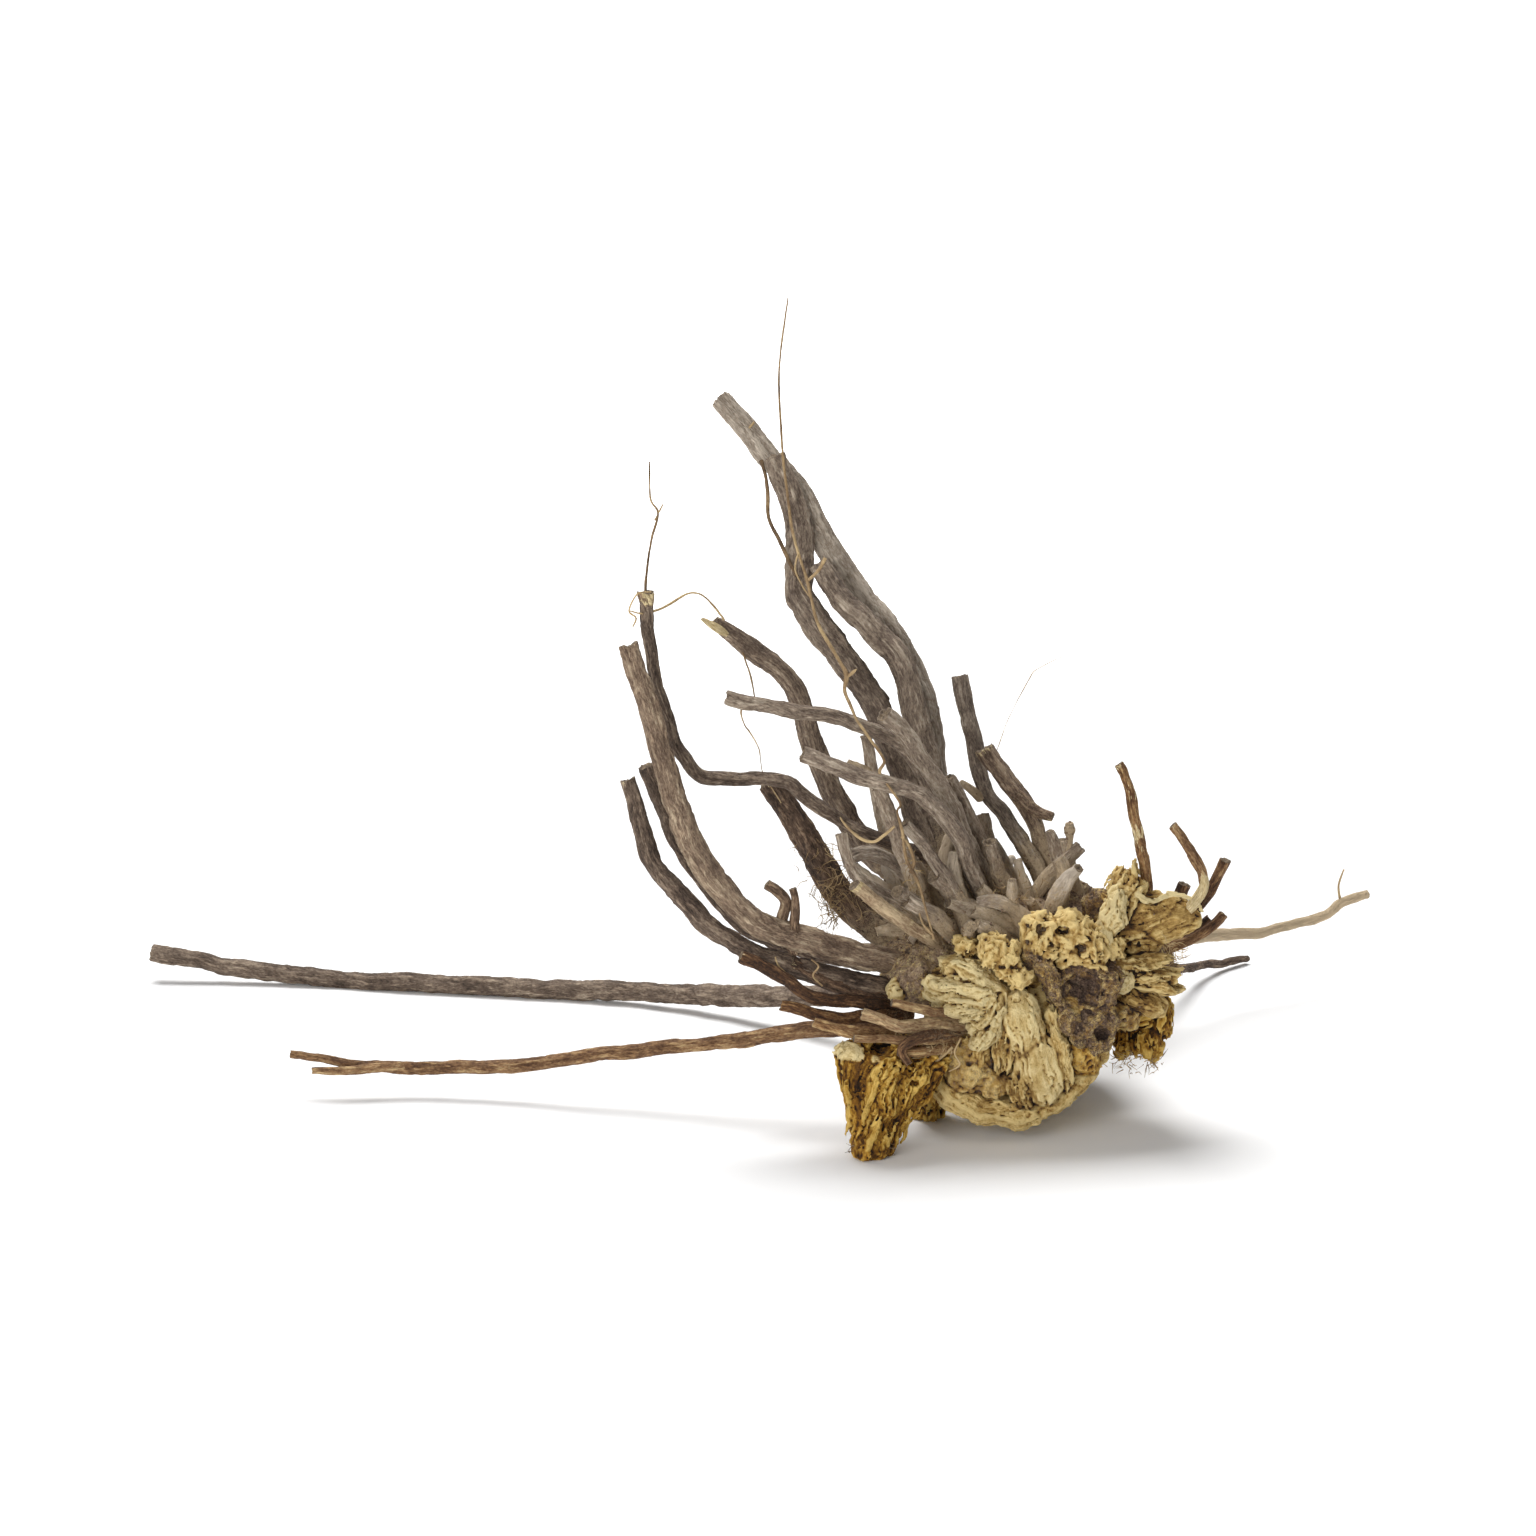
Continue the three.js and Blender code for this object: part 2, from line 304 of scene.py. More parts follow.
def carved_wood(name, rule, low, high, voxel):
    """Makes a closed mesh. The rule gets a position and returns plain shape, carved shape, marks."""
    tree, inputs = new_tree(name, {"Voxel": voxel, "Grain depth": 1.0})
    position = field(tree, "InputPosition")
    plain, carved, marks = rule(position)
    relief = (carved - plain) * inputs["Grain depth"]
    grid = {"Density": -(plain + relief), "Background": -1.0, "Min": low, "Max": high}
    for label, near, far in zip("XYZ", low, high):
        grid["Resolution " + label] = inputs["Voxel"].math("POWER", -1.0) * (far - near)
    flow = step(field(tree, "VolumeCube", grid), "VolumeToMesh", {"Threshold": 0.0})
    island = field(tree, "InputMeshIsland")
    members = field(tree, "AccumulateField", {"Value": 1.0, "Group ID": island}, "Total")
    flow = step(flow, "DeleteGeometry", {"Selection": members.math("LESS_THAN", CRUMB_POINTS)})
    flow = keep(flow, "depth", -plain)
    for label, value in marks.items():
        flow = keep(flow, label, value)
    normal = field(tree, "InputNormal")
    for label, rounds in BLURS:
        blurred = field(tree, "BlurAttribute", {"Value": position, "Iterations": rounds},
                        data_type="FLOAT_VECTOR")
        flow = keep(flow, label, (blurred - position).vector_math("DOT_PRODUCT", normal))
    close_tree(to_metres(flow), WOOD)
    return finished(name, tree, {"Voxel": voxel})


print("carved_wood is ready")

# %% [markdown]
# Bark covers the roots and bare wood the crown. Both are old and dusty, so what they share, which is
# fibres, grime with painted shade in the hollows and dry soil, is made once as shader node groups that put
# out plain masks and heights. Positions are turned into millimetres first: a scale of 2 is two marks a
# millimetre.

# %% Shader helpers


def attribute(tree, name, output="Fac"):
    return add(tree, "ShaderNodeAttribute", (), output, attribute_name=name)


def millimetres(tree):
    return add(tree, "ShaderNodeTexCoord", (), "Object") * (1 / MM)


def mixed(tree, start, end, amount):
    """A colour between two others. Colours are wires or plain (r, g, b, 1) values."""
    return add(tree, "ShaderNodeMix", (amount, start, end), data_type="RGBA")


def tones(value, *stops):
    """A colour ramp: each stop is a position and its red, green and blue."""
    colour = add(value.tree, "ShaderNodeValToRGB", (value,))
    elements = colour.socket.node.color_ramp.elements
    while len(elements) < len(stops):
        elements.new(0.5)
    for element, (position, *rgb) in zip(elements, stops):
        element.position = position
        element.color = (*rgb, 1)
    return colour


def shader_group(name, inputs, build):
    """A shader node group. The build function gets the input wires and returns named outputs."""
    group = bpy.data.node_groups.new(name, "ShaderNodeTree")
    for label, value in inputs.items():
        kind = "NodeSocketVector" if is_vector(value) else "NodeSocketFloat"
        group.interface.new_socket(label, in_out="INPUT", socket_type=kind).default_value = value
    node = group.nodes.new("NodeGroupInput")
    results = build({socket.name: Wire(group, socket) for socket in node.outputs if socket.name})
    end = group.nodes.new("NodeGroupOutput")
    for label, wire in results.items():
        kind = "NodeSocketColor" if label == "Colour" else "NodeSocketFloat"
        group.interface.new_socket(label, in_out="OUTPUT", socket_type=kind)
        plug(group, wire, end.inputs[label])
    return group


def placed(tree, group, **values):
    """Places a group in a material with its own values, and returns its outputs by name."""
    node = add(tree, "ShaderNodeGroup", values, node_tree=group).socket.node
    return {socket.name: Wire(tree, socket) for socket in node.outputs}


def finish_material(name, build):
    """A material whose build function returns its colour, roughness and height in millimetres."""
    material = bpy.data.materials.new(name)
    material.use_nodes = True
    tree = material.node_tree
    shader = tree.nodes["Principled BSDF"]
    colour, rough, height = build(tree)
    plug(tree, colour, shader.inputs["Base Color"])
    plug(tree, rough, shader.inputs["Roughness"])
    shader.inputs["Specular IOR Level"].default_value = 0.3
    bump = add(tree, "ShaderNodeBump", {"Strength": 1.0, "Distance": MM, "Height": height})
    plug(tree, bump, shader.inputs["Normal"])
    print("material", material.name, "has", len(tree.nodes), "nodes")
    return material


print("shader helpers are ready")

# %% Shared effects
NOWHERE = (0.0, 0.0, 0.0)


def build_fibres(given):
    """Fine threads along the part of the flow vector that is squeezed."""
    squeezed = given["Flow"] * given["Squeeze"]
    broad = noise(squeezed, given["Scale"], 3.0, 0.6)
    fine = noise(squeezed + (7.0, 3.0, 0.0), given["Scale"] * 3.2, 2.0, 0.6)
    creases = (broad - 0.5).math("ABSOLUTE").ramp(0.0, 0.09, 1.0, 0.0)
    return {"Threads": broad * 0.6 + fine * 0.4, "Creases": creases, "Fine": fine}


def build_grime_and_shade(given):
    """Dirt and painted shade darken the hollows; wear and painted highlight lighten the raised places."""
    cloud = noise(given["Position"], 0.8, 4.0, 0.65)
    low = given["Hollow"] + (cloud - 0.5) * given["Unevenness"]
    return {"Dirt": low.ramp(0.0, given["Reach"]), "Wear": low.ramp(0.0, given["Reach"] * -1.0)}


def build_soil(given):
    """Dry soil: a mask of crumbs where the amount is high, their colour and their height."""
    at = given["Position"]
    grains = cells(at, 3.4)
    cloud = noise(at, 1.5, 5.0, 0.7)
    dust = noise(at, 9.0, 2.0, 0.7)
    cover = (cloud * 0.9 + given["Amount"] + (dust - 0.5) * 0.7).ramp(0.62, 0.98)
    shade = noise(at, 2.6, 4.0, 0.7)
    tone = shade * 0.5 + grains * 0.25 + noise(at, 0.5, 4.0, 0.65) * 0.45 + given["Lightness"] - 0.08
    colour = tones(tone, (0.18, 0.018, 0.011, 0.008), (0.38, 0.092, 0.057, 0.040),
                   (0.55, 0.235, 0.162, 0.108), (0.8, 0.50, 0.380, 0.24))
    return {"Cover": cover, "Colour": colour, "Height": (shade - grains * 0.5) * 0.16}


FIBRES = shader_group("fibres", {"Flow": NOWHERE, "Scale": 1.5, "Squeeze": (1.0, 1.0, 1.0)}, build_fibres)
ALONG_ROOT = (1.0, 1.0, 0.19)
# dirt and painted shade in the hollows, wear and painted highlight on the raised places
GRIME_AND_SHADE = shader_group("grime_and_shade", {"Position": NOWHERE, "Hollow": 0.0, "Unevenness": 0.1, "Reach": 0.12},
                     build_grime_and_shade)
SOIL = shader_group("soil", {"Position": NOWHERE, "Amount": 0.0, "Lightness": 0.0}, build_soil)
print("shared effects:", [group.name for group in (FIBRES, GRIME_AND_SHADE, SOIL)])

# %% [markdown]
# Root bark is grey-brown and wrinkled lengthwise. Low roots are redder, some are peeled to pale wood,
# and cut ends show a pale rim. The tubes carry these facts as attributes, with a vector that runs along
# the root, so that the wrinkles follow each bend.

# %% Bark


def build_bark(tree):
    here = millimetres(tree)
    flow = attribute(tree, "flow", "Vector")
    fibres = placed(tree, FIBRES, Flow=flow, Scale=3.3, Squeeze=ALONG_ROOT)
    fleck = noise(flow * (1.0, 1.0, 0.45), 5.5, 2.0, 0.6)
    value = (fibres["Threads"] * 0.8 + attribute(tree, "grain") * 0.5 + (fleck - 0.5) * 0.5
             - fibres["Creases"] * 0.07 + (noise(here, 0.3, 3.0, 0.6) - 0.5) * 0.5
             + attribute(tree, "tone") * 0.9 - 0.54)
    grey = tones(value, (0.13, 0.040, 0.027, 0.020), (0.36, 0.140, 0.105, 0.079),
                 (0.58, 0.295, 0.235, 0.180), (0.85, 0.54, 0.46, 0.37))
    red = tones(value, (0.13, 0.028, 0.013, 0.007), (0.36, 0.122, 0.055, 0.022),
                (0.58, 0.30, 0.165, 0.070), (0.85, 0.60, 0.42, 0.20))
    pale = tones(fibres["Threads"] * 0.8 + fibres["Fine"] * 0.3, (0.3, 0.25, 0.15, 0.06),
                 (0.5, 0.56, 0.43, 0.22), (0.75, 0.80, 0.68, 0.42))
    bark = mixed(tree, grey, red, attribute(tree, "red"))
    ragged = (fibres["Threads"] - 0.5) * 1.3 + (noise(here, 0.5, 2.0) - 0.5) * 1.2
    bark = mixed(tree, bark, pale, (attribute(tree, "peel") + ragged).ramp(0.50, 0.60))
    core = noise(here, 2.2, 4.0, 0.7)
    cut_colour = tones(core, (0.35, 0.055, 0.038, 0.027), (0.55, 0.17, 0.125, 0.080),
                       (0.8, 0.38, 0.29, 0.17))
    face = attribute(tree, "cut").ramp(0.3, 0.8)
    bark = mixed(tree, bark, cut_colour, face)
    soil = placed(tree, SOIL, Position=here, Amount=attribute(tree, "dust"), Lightness=0.28)
    colour = mixed(tree, bark, soil["Colour"], soil["Cover"] * 0.85)
    height = (fibres["Threads"] * 0.17 - fibres["Creases"] * 0.09 + fleck * 0.05) * face.rest()
    return (colour, fibres["Threads"].ramp(0.2, 0.8, 0.78, 0.95),
            height + core * 0.12 * face + soil["Height"] * soil["Cover"])


BARK = finish_material("root_bark", build_bark)

# %% [markdown]
# The crown's bare wood is pale straw where it was rubbed and on raised places, partly as painted highlight,
# brown where it is deep and nearly black in the cracks, partly as dirt and partly as painted shade. Golden
# fibre lies on the old stumps and the round rim, and grey-brown soil is caked in the hollows. The carving
# has already told where each is.

# %% Bare wood


def build_wood(tree):
    here = millimetres(tree)
    narrow, wide = attribute(tree, "hollow"), attribute(tree, "wide_hollow")
    # the narrow and the wide hollow give dirt and painted shade in the hollows, and wear and painted
    # highlight on the rises
    grime_and_shade = placed(tree, GRIME_AND_SHADE, Position=here, Hollow=narrow, Unevenness=0.08, Reach=0.13)
    deep = placed(tree, GRIME_AND_SHADE, Position=here, Hollow=wide, Unevenness=0.25, Reach=0.6)
    # deep clefts are darkened by their depth below the plain surface: painted shade
    deep_cleft_shade = (attribute(tree, "depth") + (noise(here, 1.0, 3.0) - 0.5) * 0.8).ramp(0.9, 2.3)
    patches = noise(here, 0.42, 4.0, 0.6)
    speck = noise(here, 3.5, 3.0, 0.65)
    fibres = placed(tree, FIBRES, Flow=attribute(tree, "grain", "Vector"), Scale=3.4)
    stain = noise(here, 0.22, 4.0, 0.6).ramp(0.42, 0.62)
    # the seam is a band along the clefts between chunks; it is darkened below as painted shade and dirt
    seam = attribute(tree, "seam")
    thready = attribute(tree, "thready") * seam.rest()
    threads = (fibres["Threads"] - 0.5) * thready
    creases = fibres["Creases"] * thready
    shade = (patches * 0.5 + speck * 0.36 + threads * 0.7 - creases * 0.08
             + attribute(tree, "streak") * 1.1 + attribute(tree, "fresh") * 0.17
             + grime_and_shade["Wear"] * 0.26 - grime_and_shade["Dirt"] * 0.45 - stain * 0.13
             + deep["Wear"] * 0.12 - deep["Dirt"] * 0.34 - deep_cleft_shade * 0.6 - seam * speck * 0.5 + 0.21)
    straw = tones(shade, (0.0, 0.014, 0.007, 0.003), (0.18, 0.095, 0.050, 0.016),
                  (0.36, 0.31, 0.20, 0.070), (0.54, 0.55, 0.405, 0.168), (0.8, 0.80, 0.67, 0.37))
    golden = tones(shade, (0.0, 0.014, 0.006, 0.002), (0.18, 0.072, 0.028, 0.004),
                   (0.37, 0.210, 0.092, 0.008), (0.55, 0.43, 0.225, 0.029), (0.82, 0.70, 0.46, 0.115))
    wood = mixed(tree, straw, golden, attribute(tree, "golden"))
    amount = attribute(tree, "soil") * 0.8 + deep["Dirt"] * 0.38 - 0.12
    soil = placed(tree, SOIL, Position=here, Amount=amount, Lightness=attribute(tree, "fresh") * 0.3)
    # soil in the narrow hollows is pulled towards black: painted shade and dirt
    soil_and_hollow_shade = mixed(tree, soil["Colour"], (0.014, 0.009, 0.007, 1), grime_and_shade["Dirt"] * 0.6)
    height = (threads * 0.2 - creases * 0.08 + speck * 0.2 + noise(here, 8.0, 2.0, 0.6) * 0.08
              + soil["Height"] * soil["Cover"])
    return mixed(tree, wood, soil_and_hollow_shade, soil["Cover"]), speck.ramp(0.2, 0.8, 0.85, 0.97), height


WOOD = finish_material("crown_wood", build_wood)

# %% Loose soil and hair-thin rootlets


def build_crumbs(tree):
    here = millimetres(tree)
    soil = placed(tree, SOIL, Position=here, Amount=0.6)
    colour = mixed(tree, soil["Colour"], (0.20, 0.135, 0.075, 1), noise(here, 0.6, 2.0).ramp(0.5, 0.62))
    return colour, noise(here, 5.0).ramp(0.0, 1.0, 0.88, 1.0), soil["Height"]


def build_rootlet(tree):
    fibres = placed(tree, FIBRES, Flow=attribute(tree, "flow", "Vector"), Scale=4.0, Squeeze=ALONG_ROOT)
    shade = noise(millimetres(tree), 0.3, 4.0, 0.65) * 1.3 + attribute(tree, "tone") - 0.72
    shade = shade + (fibres["Fine"] - 0.5) * 0.5
    colour = tones(shade, (0.2, 0.075, 0.044, 0.024), (0.5, 0.24, 0.155, 0.078), (0.8, 0.52, 0.38, 0.20))
    return colour, fibres["Threads"].ramp(0.2, 0.8, 0.7, 0.9), fibres["Threads"] * 0.03


CRUMB = finish_material("dry_soil", build_crumbs)
ROOTLET = finish_material("rootlet", build_rootlet)

# %% [markdown]
# No two lumps of the crown have their grain the same way, because each is the foot of another stem. So
# every lump is a chunk with its own grain and its own kind of surface, and hard minimums leave a sharp
# cleft where two meet. Fibre is noise stretched along the grain, sponge is scattered holes, bark is a
# net of fine ridges, and soil is small grains.

# %% Kinds of surface
# each kind gets the position and the squeezed position, and returns how far it carves, in millimetres,
# and a light or dark streak about nought


def split_fibres(grain, scale, rough, width, depth):
    """Threads about nought, and narrow gaps between them, this wide and this deep."""
    threads = noise(grain, scale, 3.0, rough) - 0.5
    return threads, threads.math("ABSOLUTE").ramp(0.0, width, depth, 0.0)


def fibre_relief(at, grain):
    threads, gaps = split_fibres(grain, 1.3, 0.6, 0.08, 0.6)
    strands = noise(grain, 0.42, 1.0, 0.5) - 0.5
    return gaps + threads * 1.5 + strands * 1.8, threads * -0.8 - strands * 0.5 - gaps * 0.3


def plate_relief(at, grain):
    threads, gaps = split_fibres(grain, 1.1, 0.58, 0.05, 0.5)
    return gaps + threads * 0.9, threads * -0.8 - gaps * 0.35


def smooth_relief(at, grain):
    threads, gaps = split_fibres(grain, 0.8, 0.55, 0.035, 0.4)
    return threads * 0.9 + gaps, threads * -0.6 - gaps * 0.4


def sponge_relief(at, grain):
    lumps = noise(at, 0.9, 6.0, 0.7) - 0.5
    holes = (cells(at, 0.95) + lumps * 0.9).ramp(0.40, 0.22, 0.0, 1.7)
    holes = holes * noise(at, 0.45, 2.0, 0.5).ramp(0.42, 0.56)
    return holes + lumps * 3.8, lumps * -1.3 - holes * 0.1


def rind_relief(at, grain):
    threads, gaps = split_fibres(grain, 1.5, 0.6, 0.05, 0.28)
    lumps = noise(at, 0.7, 3.0, 0.55) - 0.5
    return gaps + threads * 0.7 + lumps * 1.1, threads * -0.7 - lumps * 0.8 - gaps * 0.5


def knot_relief(at, grain):
    rings = (cells(at + drift(at, 0.7) * 1.6, 0.4) * 13.0).math("SINE") * 0.5
    lumps = noise(at, 0.75, 5.0, 0.62) - 0.5
    return rings * 0.3 + lumps * 2.0, lumps * -0.9 - rings * 0.16


def net_relief(at, grain):
    net = cells(at, 1.05, feature="DISTANCE_TO_EDGE").ramp(0.02, 0.22, 0.0, 0.24)
    lumps = noise(at, 0.8, 4.0, 0.6) - 0.5
    return net + lumps * 0.9, net * -0.5 - lumps * 0.8


def soil_relief(at, grain):
    lumps = noise(at, 0.6, 6.0, 0.68) - 0.5
    return lumps * 2.8, lumps * -0.9


# the surface, how restless its outline is, how much soil lies on it, how golden it is, how freshly it
# is broken, and how clearly its fine threads show
FIBRE = (fibre_relief, 0.45, 0.0, 0.45, 0.2, 0.9)
PLATE = (plate_relief, 0.6, 0.0, 0.15, 1.2, 0.8)
EDGE = (plate_relief, 0.6, 0.0, 0.15, 1.3, 0.9)
SMOOTH = (smooth_relief, 0.3, 0.0, 0.2, 0.5, 0.45)
SPONGE = (sponge_relief, 1.3, 0.28, 0.48, 0.3, 0.3)
RIND = (rind_relief, 0.5, 0.1, 0.5, 0.75, 0.8)
OLD_RIND = (fibre_relief, 0.7, 0.58, 0.5, -0.15, 0.8)
SCALY = (knot_relief, 0.6, 0.46, 0.6, -0.1, 0.6)
DARK_RIND = (net_relief, 0.6, 0.42, 0.9, -0.35, 0.3)
WING_FACE = (smooth_relief, 0.3, 0.3, 0.5, -0.55, 0.8)
STUMP = (fibre_relief, 0.3, 0.04, 1.0, -0.15, 1.0)
DARK_STUMP = (fibre_relief, 0.5, 0.3, 1.0, -0.5, 0.9)
SOILED = (soil_relief, 1.0, 0.66, 0.6, -0.45, 0.2)
DUSTY = (soil_relief, 1.0, 0.74, 0.3, 0.0, 0.2)
MARKS = ("soil", "golden", "fresh", "thready")
print("kinds of surface are ready")

# %% Chunks
GRAIN_STRETCH = 0.09
SEAM_REACH = (0.35, 0.05)
HAND_OVER = (0.06, -0.06)       # how far a chunk must stand out to give its marks
SOFT_JOIN = 0.3
APART = (3.7, 1.9, 5.1)         # moves the noise of each next chunk, so that no two look alike


def chain(kind, points, radius):
    """A row of posts from point to point. Its grain runs along the whole row without a break."""
    pairs = [(Vector(start), Vector(end)) for start, end in zip(points, points[1:])]
    return [(kind, (tuple(start), tuple(end), radius, radius), None, tuple(end - start),
             tuple((start + end) / -2)) for start, end in pairs]


def lump(kind, centre, half, lean=0.0, direction=(1, 0, 0)):
    return (kind, (centre, half), lean, direction, None)


def taper(kind, top, foot, top_radius, foot_radius, direction=None):
    direction = direction or tuple(Vector(top) - Vector(foot))
    return (kind, (top, foot, top_radius, foot_radius), None, direction, None)


def along_grain(at, direction):
    """Positions squeezed along the grain, so that noise on them runs in long fibres."""
    direction = Vector(direction).normalized()
    along = at.vector_math("DOT_PRODUCT", tuple(direction))
    return at - along * tuple(direction * (1 - GRAIN_STRETCH))


def chunk_set(at, turns, chunks, shift):
    """Joins chunks. Returns the plain shape, the carved one, and the marks of the outermost chunk."""
    plain = carved = None
    marks, moved = {}, {}
    for order, (kind, sizes, lean, direction, move) in enumerate(chunks):
        relief, unrest, *amounts = kind
        if unrest not in moved:
            moved[unrest] = at + turns * unrest
        here = moved[unrest]
        shape = post(here, *sizes) if lean is None else egg(here, *sizes, lean)
        in_row = move is not None
        across, deep, up = (order * gap for gap in APART)
        move = move or (shift + across, deep, up)
        grain = along_grain(at + move, direction)
        carving, streak = relief(at + move, grain)
        found = dict(zip(MARKS, amounts), streak=streak, grain=grain)
        if plain is None:
            plain, carved, seam = shape, shape + carving, shape * 0.0
            marks = {name: value if isinstance(value, Wire) else shape * 0.0 + value
                     for name, value in found.items()}
            continue
        step_over = shape - plain
        wins = step_over.ramp(*HAND_OVER)
        for name, value in found.items():
            marks[name] = marks[name] + (-marks[name] + value) * wins
        seam = seam * wins.rest()
        if not in_row:
            seam = seam.math("MAXIMUM", step_over.math("ABSOLUTE").ramp(*SEAM_REACH))
        plain = plain.math("SMOOTH_MIN", shape, SOFT_JOIN)
        carved = carved.math("MINIMUM", shape + carving)
    return plain, carved, dict(marks, seam=seam)


def carving_rule(chunks, cuts, shift, slow=2.4, quick=0.9, back=None, top=None):
    """The whole rule of one piece. It may be cut flat at the back, at the top and on the table."""
    def rule(at):
        bent = at + drift(at, 0.3) * slow       # so that no lump has a clean round outline
        turns = drift(at, 1.1, 3.0, 0.55) * quick
        plain, carved, marks = chunk_set(bent, turns, chunks, shift)
        here = bent + turns
        torn_edge = (noise(here, 1.3, 4.0, 0.6) - 0.5) * 1.6
        for cut in cuts:
            hole = post(here, *cut) if len(cut) == 4 else egg(here, *cut)
            carved = carved.math("MAXIMUM", -(hole + torn_edge))
        carved = carved.math("MAXIMUM", -at.part(2))
        if back is not None:
            carved = carved.math("MAXIMUM", at.part(1) - back)
        if top is not None:
            carved = carved.math("MAXIMUM", bent.part(2) - top)
        return plain, carved, marks
    return rule


print("chunks: lump, taper, chain")

# %% [markdown]
# The face is what the grower sees first: a pale tongue runs down its middle, a fan of torn plates opens
# to the left, knobs and holes lie above, and a diagonal cleft parts it from a soil-filled hollow. Posts
# cut long clefts and eggs cut holes. The body and the face share some cuts, which go through both.

# %% The crown's cuts
DIAGONAL_CUTS = (
    ((28.6, -5, 24.0), (30.8, -6, 20.4), 1.0, 1.1),
    ((30.8, -6, 20.4), (32.8, -5.8, 16.6), 1.1, 0.7),
    ((32.8, -5.8, 16.6), (35.2, -5, 13.8), 0.7, 0.6),
    ((35.2, -4.8, 17.6), (2.9, 3.4, 2.2)),
    ((37.4, -3.4, 12.6), (1.1, 1.6, 0.8)),
)
FAN_CUTS = (
    ((23.0, -6, 24.2), (23.4, -6.2, 21.4), 0.4, 0.5),
    ((23.4, -6.2, 21.4), (26.0, -6.4, 19.0), 0.5, 0.35),
    ((24.8, -6, 23.6), (25.0, -6.2, 21.6), 0.3, 0.4),
    ((25.0, -6.2, 21.6), (26.8, -6.4, 20.4), 0.4, 0.3),
    ((17.8, -5.5, 13.6), (4.8, 4.4, 1.1)),
    ((15.2, -4, 14.4), (2.6, 3.5, 1.2)),
    ((21.5, -6, 13.2), (1.6, 2.4, 0.6)),
)
TONGUE_CUTS = (
    ((26.4, -6.6, 9.0), (28.2, -6.2, 4.8), 0.3, 0.55),
    ((30.4, -7.0, 13.4), (32.6, -6.2, 7.8), 0.28, 0.5),
    ((33.4, -5.6, 12.0), (34.2, -5, 7.4), 0.4, 0.5),
    ((24.4, -5.8, 15.4), (22.6, -5.2, 10.4), 0.35, 0.45),
)
HOLES = (
    ((30.6, -4.4, 24.4), (0.75, 2.6, 0.6)),
    ((33.0, -4.0, 24.3), (0.95, 2.6, 0.7)),
    ((34.9, -4.0, 22.6), (0.7, 2.4, 0.9)),
    ((31.6, -4.6, 22.6), (0.8, 2.2, 0.5)),
)
WING_CAVE = (((41.6, -0.2, 21.4), (2.0, 2.6, 0.8)),)
print(len(DIAGONAL_CUTS + FAN_CUTS + TONGUE_CUTS + HOLES + WING_CAVE), "cuts")

# %% The crown's body
BODY_CHUNKS = (
    lump(RIND, (28, 6.2, 11.2), (10.0, 8.4, 11.2)),
    lump(DUSTY, (30, 10, 19.2), (11.2, 10.4, 6.0)),
    lump(DUSTY, (24, 14, 20.5), (10.4, 9.4, 4.6)),
    lump(DUSTY, (18, 5, 18.2), (5.6, 6.6, 4.2)),
    lump(DUSTY, (37.5, 9, 21.0), (4.4, 6, 4.4)),
    lump(DUSTY, (33.5, 12, 23.0), (4.2, 4.4, 3.4)),
    lump(DUSTY, (26.5, 9, 22.6), (4.6, 4.6, 3.2)),
    lump(DUSTY, (20.5, 9, 21.4), (4.4, 5, 3.4)),
    lump(OLD_RIND, (30, 21, 12), (10, 7, 10), 0.0, (0.3, 0, 1)),
    lump(DUSTY, (22, 22, 15), (5, 5.6, 6)),
    lump(OLD_RIND, (37, 17, 14), (4.6, 6, 5.4), 0.0, (-0.2, 0, 1)),
)
BODY_RULE = carving_rule(BODY_CHUNKS, DIAGONAL_CUTS + FAN_CUTS[4:6], 0.0, 3.0, 1.2)
body = carved_wood("crown_body", BODY_RULE, (8, -8, -0.6), (46, 30, 30), 0.35)
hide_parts("clematis_root")

# %% The crown's face
FAN_POINT = Vector((26.8, -2.6, 17.6))
# direction in degrees, distance to the middle, half length, half thickness, step towards the front
FAN_PLATES = (
    (156, 4.2, 4.2, 1.2, 0.0), (170, 4.9, 4.6, 1.0, -0.6), (182, 5.0, 4.6, 1.3, -0.2),
    (195, 4.8, 4.0, 1.0, -0.6), (208, 3.6, 3.0, 1.1, -0.2), (226, 3.4, 3.4, 1.1, -0.5),
    (243, 4.2, 4.4, 1.3, -0.7),
)


def fan_plate(degrees, reach, half_length, half_thickness, forward):
    """One of the plates that spread from a point towards the left, like leaves of a torn book."""
    turn = math.radians(degrees)
    outward = Vector((math.cos(turn), 0, math.sin(turn)))
    centre = FAN_POINT + outward * reach + Vector((0, forward, 0))
    return lump(PLATE, tuple(centre), (half_length, 3.0, half_thickness), -turn, tuple(outward))


